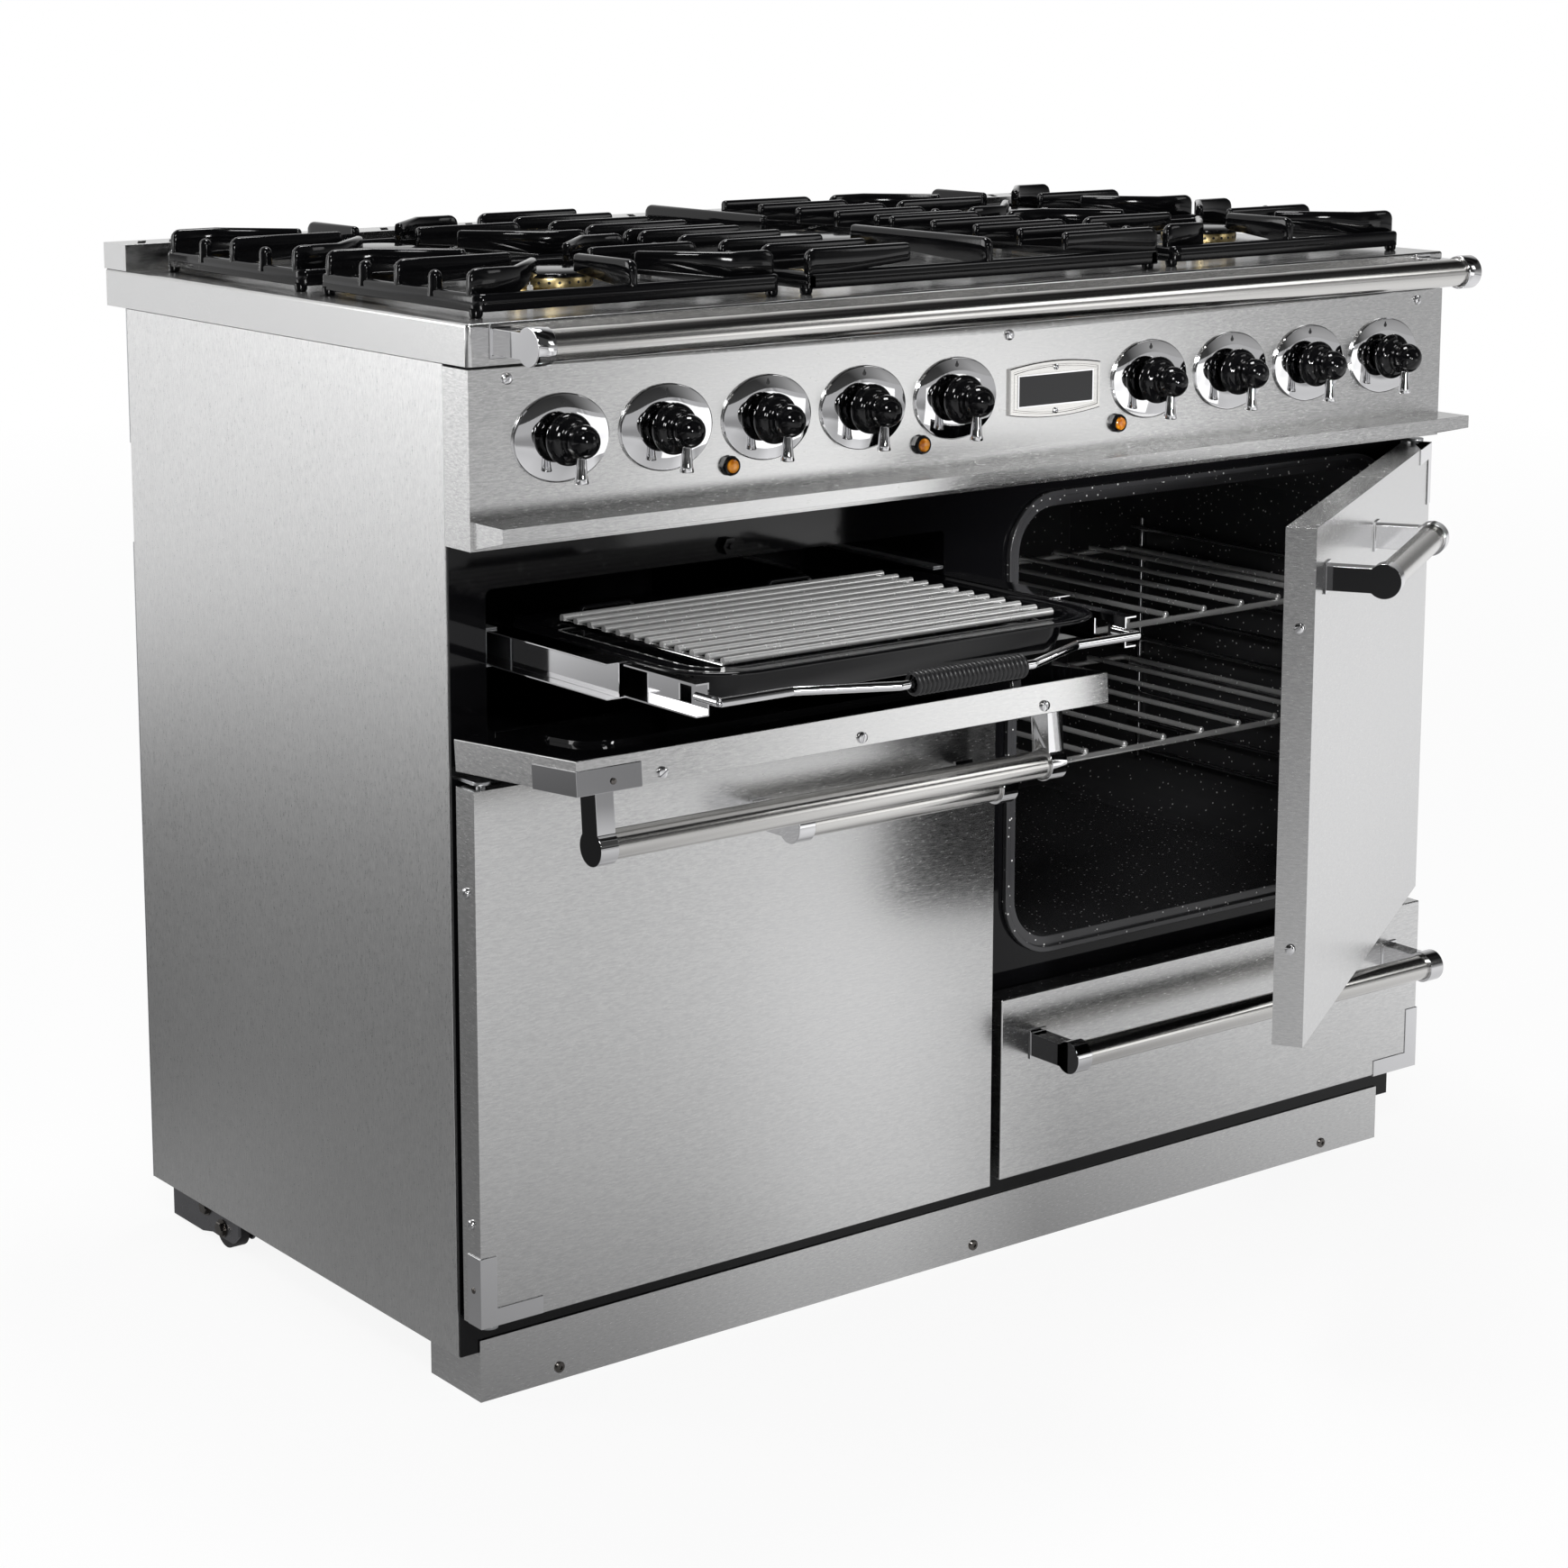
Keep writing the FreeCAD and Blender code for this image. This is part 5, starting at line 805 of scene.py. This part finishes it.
# shelves, trims and small fasteners
def shelves():
    """Bright wire shelves whose long rods end in beads over the front bar."""
    first_rung, rung_pitch, lift = 58.6, 29, 5.9
    clearance, y0, y1 = 8.8, 15.0, 329.0
    count, over, bead, bead_half = 8, 5.2, 3.3, 3.2
    bead_profile = ([(0, -bead_half)]
                    + [(bead * math.cos(t), bead * math.sin(t)) for t in (-1.1, -0.6, 0, 0.6, 1.1)]
                    + [(0, bead_half)])
    frames, wires, beads = [], [], []
    # each oven's left and right walls and its floor
    for wall_left, wall_right, base in ((-503.3, -50.6, 104.0), (45.0, 503.3, 285.5)):
        a, b = wall_left + clearance, wall_right - clearance
        for rung in (3, 7):
            z = base + first_rung + rung * rung_pitch + lift
            frames.append([(a, y0, z), (b, y0, z), (b, y1, z), (a, y1, z), (a, y0, z)])
            for n in range(count):
                x = a + (b - a) * (n + 1) / (count + 1)
                wires.append([(x, y1, z + over), (x, y0 + 0.5, z + over)])
                beads.append(lathe(bead_profile, (x, y0 - 0.4, z + over + 0.2), UP, 20))
    wire(frames, 3.0, "shelf_frames", "rod", "cooker", ("oven_shelves",), 9)
    wire(wires, 2.7, "shelf_wires", "rod", "cooker", (), 2.5)
    finish_piece("shelf_beads", joined(beads), "rod", "cooker", (), 60)


# the direction along each handle, towards its left end
DOOR_SIDE = {"left_door_trim": (-1, 0, 0), "right_door_trim": (-0.846, -0.533, 0),
             "grill_door_trim": (-1, 0, 0), "drawer_trim": (-1, 0, 0)}
# in metres: longer pieces are tubes, wider ones caps, and smaller ones become screws
TUBE_LENGTH = 0.15
BRACKET_WIDTH = 0.0505
SCREW_SIZE = 0.014


def islands(work):
    """The connected groups of a mesh's vertices."""
    left, found = set(work.verts), []
    for seed in work.verts:
        if seed not in left:
            continue
        left.discard(seed)
        stack, island = [seed], []
        while stack:
            vert = stack.pop()
            island.append(vert)
            for edge in vert.link_edges:
                other = edge.other_vert(vert)
                if other in left:
                    left.discard(other)
                    stack.append(other)
        found.append(island)
    return found


def trim(node):
    """Door or drawer trim: satin tube, polished brackets and folded corner cap; the brackets' outer
    sides and the grill door's cap are darkened as painted dark reflection.
    """
    # the grill door's corner cap takes the darker cap metal, a painted dark reflection
    looks = ("satin", "mirror", "cap" if node == "grill_door_trim" else "chrome", "dark_reflection_paint")
    tube, bracket, cap, painted_dark_side = range(len(looks))
    work = bmesh.new()
    work.from_mesh(frame["nodes"][node].data)
    bmesh.ops.remove_doubles(work, verts=work.verts, dist=0.00001)
    bmesh.ops.dissolve_limit(work, angle_limit=math.radians(0.5), verts=work.verts,
                             edges=work.edges)
    work.normal_update()
    way = Vector(DOOR_SIDE[node])
    centre = sum((v.co for v in work.verts), Vector()) / len(work.verts)
    small, screws = [], []
    for island in islands(work):
        low, high = [Vector([pick(v.co[i] for v in island) for i in range(3)])
                     for pick in (min, max)]
        span = high - low
        index = tube if max(span) > TUBE_LENGTH else bracket
        if index == bracket and span.x > BRACKET_WIDTH:
            index = cap
        if max(span) < SCREW_SIZE:
            screws.append(screw_mesh((high + low) / 2 / MM + way * 3.0, way, 4.2, 2.2, 55))
            small += island
        outer = sum((v.co for v in island), Vector()) / len(island) - centre
        for vert in island:
            for face in vert.link_faces:
                face.material_index = index
                # painted dark reflection: the brackets' outer sides get a dark metal colour that
                # stands for the dark side of the room they face
                facing = face.normal.dot(way) * math.copysign(1, outer.dot(way))
                if index == bracket and facing > 0.9:
                    face.material_index = painted_dark_side
    bmesh.ops.delete(work, geom=small, context="VERTS")
    mesh = bpy.data.meshes.new(node + "_bright")
    work.to_mesh(mesh)
    work.free()
    for look in looks:
        mesh.materials.append(M[look])
    obj = finish_piece(node + "_bright", mesh, None, NODE_BODY[node], (node,), 35)
    edge_round(obj, 0.5)
    if screws:
        finish_piece(node + "_screws", joined(screws), "chrome", NODE_BODY[node], (), 35)


def fasteners():
    """Screws of the let-down grill door, roller bracket bolts and cap rivets."""
    door_top, door_lean = 551.0, (0, -1, -0.08)
    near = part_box("grill_door_skin")[0].y / MM
    slotted = [screw_mesh((x, near + 0.3, door_top), door_lean, 4.6, 2.4, turn)
               for x, turn in ((-467, 35), (-273.4, 80), (-80.4, 120))]
    finish_piece("grill_door_screws", joined(slotted), "chrome", "grill_door", (), 35)

    bracket_x = 529.9
    hexagon, washer = [(7, 0), (7, 4.2), (6, 5), (0, 5)], [(8.6, 0), (8.6, 1.2), (0, 1.2)]
    bolts = []
    for side in (-1, 1):
        for y, z in ((417, 19), (447, 31)):
            spot = (side * bracket_x, y, z)
            bolts.append(lathe(hexagon, spot, (side, 0, 0), 6))
            bolts.append(lathe(washer, spot, (side, 0, 0), 28))
    finish_piece("bracket_bolts", joined(bolts), "smoke", NODE_BODY["floor_fittings"], (), 30)

    rivet = [(2.6, 0), (2.4, 0.5), (1.5, 0.9), (0, 1.1)]
    grill_cap, left_cap = (-513, -187.6, door_top), (-546.3, -34, 108)
    finish_piece("grill_cap_rivet", lathe(rivet, grill_cap, door_lean, 20),
                 "smoke", "grill_door", (), 40)
    finish_piece("left_cap_rivet", lathe(rivet, left_cap, (-1, 0, 0), 20),
                 "smoke", "left_door", (), 40)


knobs()
bezels()
indicator_lamps()
fascia_screws()
badge()
burners()
supports()
grip()
pan()
rack()
shelves()
for trim_node in DOOR_SIDE:
    trim(trim_node)
fasteners()


# studio
CAMERA_RAYS = ("Is Camera Ray",)
SEEN_RAYS = ("Is Camera Ray", "Is Glossy Ray", "Is Transmission Ray")


def lit_for(tree, kinds):
    """1 for the named kinds of ray, else 0."""
    path = tree.nodes.new("ShaderNodeLightPath")
    total = path.outputs[kinds[0]]
    for kind in kinds[1:]:
        total = maths(tree, "MAXIMUM", total, path.outputs[kind])
    return total


def floor_distance(tree, place, way):
    """Distance in metres along a direction on the floor."""
    dot = add(tree, "VectorMath", {0: place}, {1: way}, operation="DOT_PRODUCT")
    return dot.outputs["Value"]


def mixed(tree, share, first, second, end):
    """Mix two shaders by a share, into the tree's output node."""
    mix = add(tree, "MixShader", {"Fac": share, 1: first, 2: second})
    tree.links.new(mix.outputs["Shader"], tree.nodes[end].inputs["Surface"])


def floor():
    """White floor, whose image in the metal has light and dark stretches."""
    reach = 30.0
    mesh = bpy.data.meshes.new("floor")
    mesh.from_pydata([(-reach, -reach, 0), (reach, -reach, 0), (reach, reach, 0),
                      (-reach, reach, 0)], [], [(0, 1, 2, 3)])
    obj = bpy.data.objects.new("floor", mesh)
    bpy.context.collection.objects.link(obj)
    pale = shader("floor", (0.86, 0.86, 0.86), 0.0, 0.6)
    tree = pale.node_tree
    bump(pale, noise(pale, 12.0, 2.0), 0.03, 0.001)
    place = tree.nodes.new("ShaderNodeTexCoord").outputs["Object"]

    # painted light and shade in the floor's glow that the metal reflects, the dark stretch near the
    # cooker a painted shadow: levels by the distance in metres towards the left rear, and towards the
    # right rear
    rearward = ((-8.0, 0.6), (-5.2, 0.38), (-4.45, 0.4), (-3.95, 0.85), (-3.2, 0.8),
                (-2.2, 0.9), (-1.5, 1.0), (-0.9, 1.0), (-0.25, 0.75), (0.4, 0.3), (1.2, 0.1),
                (2.3, 0.12), (3.0, 0.4), (3.7, 1.0), (6.5, 1.0))
    sideways = ((-1.0, 0.85), (-0.5, 0.6), (-0.3, 0.7), (-0.18, 1.0), (-0.08, 1.0),
                (0.06, 0.5), (0.3, 0.75), (0.6, 0.9))
    far_off = grey_ramp(tree, floor_distance(tree, place, (-0.61, 0.79, 0)), -8, 8, rearward, 1.01)
    banded = grey_ramp(tree, floor_distance(tree, place, (0.79, 0.61, 0)), -1, 1, sideways)
    dimmed = add(tree, "VectorMath", {0: far_off, 1: banded}, operation="MULTIPLY")
    tone = add(tree, "Mix", {"A": dimmed.outputs["Vector"], "Factor": lit_for(tree, CAMERA_RAYS)},
               {"B": (1, 1, 1, 1)}, data_type="RGBA")
    glow = add(tree, "Emission", {"Color": tone.outputs["Result"]})

    # beside the cooker the floor keeps some shadow; farther off it fades to white
    away = add(tree, "VectorMath", {0: place}, operation="LENGTH").outputs["Value"]
    share = maths(tree, "MULTIPLY", lit_for(tree, SEEN_RAYS), ranged(tree, away, 1.2, 6.0, 0.9))
    mixed(tree, share, tree.nodes["Principled BSDF"].outputs["BSDF"], glow.outputs["Emission"],
          "Material Output")
    mesh.materials.append(pale)


def room():
    """White room; in the metal, it is light behind the cooker and dim in front and overhead."""
    world = bpy.data.worlds.new("studio")
    bpy.context.scene.world = world
    world.use_nodes = True
    tree = world.node_tree
    back = tree.nodes["Background"]
    back.inputs["Color"].default_value = (0.36, 0.36, 0.365, 1)
    way = tree.nodes.new("ShaderNodeTexCoord").outputs["Generated"]
    split = add(tree, "SeparateXYZ", {"Vector": way})
    height = ranged(tree, split.outputs["Z"], 0.0, 0.22, 0.45, 0.06)
    behind = ranged(tree, split.outputs["Y"], 0.2, 0.75, 0.0, 0.8)
    cloud = add(tree, "TexNoise", {"Vector": way}, {"Scale": 1.7, "Detail": 0.0})
    cards = ranged(tree, cloud.outputs["Fac"], 0.42, 0.58, 0.12)
    level = maths(tree, "MAXIMUM", maths(tree, "MULTIPLY", cards, height), behind)
    strength = maths(tree, "MAXIMUM", level, lit_for(tree, CAMERA_RAYS))
    seen = add(tree, "Background", {"Strength": strength}, {"Color": (1, 1, 1, 1)})
    mixed(tree, lit_for(tree, SEEN_RAYS), back.outputs["Background"],
          seen.outputs["Background"], "World Output")


def aimed(name, light, place, aim):
    """Stand a lamp at a place and turn it towards another."""
    obj = bpy.data.objects.new(name, light)
    obj.location = place
    obj.rotation_euler = (Vector(aim) - Vector(place)).to_track_quat("-Z", "Y").to_euler()
    bpy.context.collection.objects.link(obj)


def area(name, place, aim, size, watts, tall=None):
    """Rectangular lamp, square where its height isn't given, in metres and watts."""
    light = bpy.data.lights.new(name, "AREA")
    light.shape = "RECTANGLE"
    light.size = size
    light.size_y = tall or size
    light.energy = watts
    aimed(name, light, place, aim)


def lights():
    """Soft lamps round the cooker, and one for the open oven."""
    area("key", (-2.4, -3.0, 3.2), (-0.2, 0, 0.6), 0.9, 75)
    area("fill", (-1.0, -3.6, 1.3), (0.2, 0.1, 0.5), 0.4, 16)
    area("side", (-3.2, 2.6, 1.7), (-0.5, 0.2, 0.6), 1.2, 40, 2.6)
    area("strip", (3.0, -2.9, 2.3), (0.2, 0, 0.5), 1.2, 9)
    area("top", (0.2, 0.5, 3.2), (0, 0.2, 0.6), 0.8, 45)
    # a narrow lamp that reaches into the open oven
    spot = bpy.data.lights.new("oven_spot", "SPOT")
    spot.energy = 380
    spot.spot_size = math.radians(16)
    spot.spot_blend = 0.8
    spot.shadow_soft_size = 0.12
    aimed("oven_spot", spot, (0.05, -2.4, 0.78), (0.24, 0.1, 0.5))
    area("low", (1.5, -2.0, 0.38), (0.2, 0, 0.5), 0.8, 1.5, 0.6)


def camera():
    """Place, direction and lens are solved from the photograph, in metres and degrees."""
    cam = bpy.data.cameras.new("camera")
    cam.sensor_width = 36
    cam.lens = 78.62
    cam.shift_x = 0.018
    cam.shift_y = -0.14
    cam.clip_end = 100
    obj = bpy.data.objects.new("camera", cam)
    obj.location = (-1.934, -2.236, 1.157)
    yaw, pitch = math.radians(37.19), math.radians(10.05)
    look = Vector((math.sin(yaw) * math.cos(pitch), math.cos(yaw) * math.cos(pitch),
                   -math.sin(pitch)))
    obj.rotation_euler = look.to_track_quat("-Z", "Y").to_euler()
    bpy.context.collection.objects.link(obj)
    bpy.context.scene.camera = obj


floor()
room()
lights()
camera()
bpy.context.scene.view_settings.view_transform = "Standard"
bpy.context.view_layer.update()
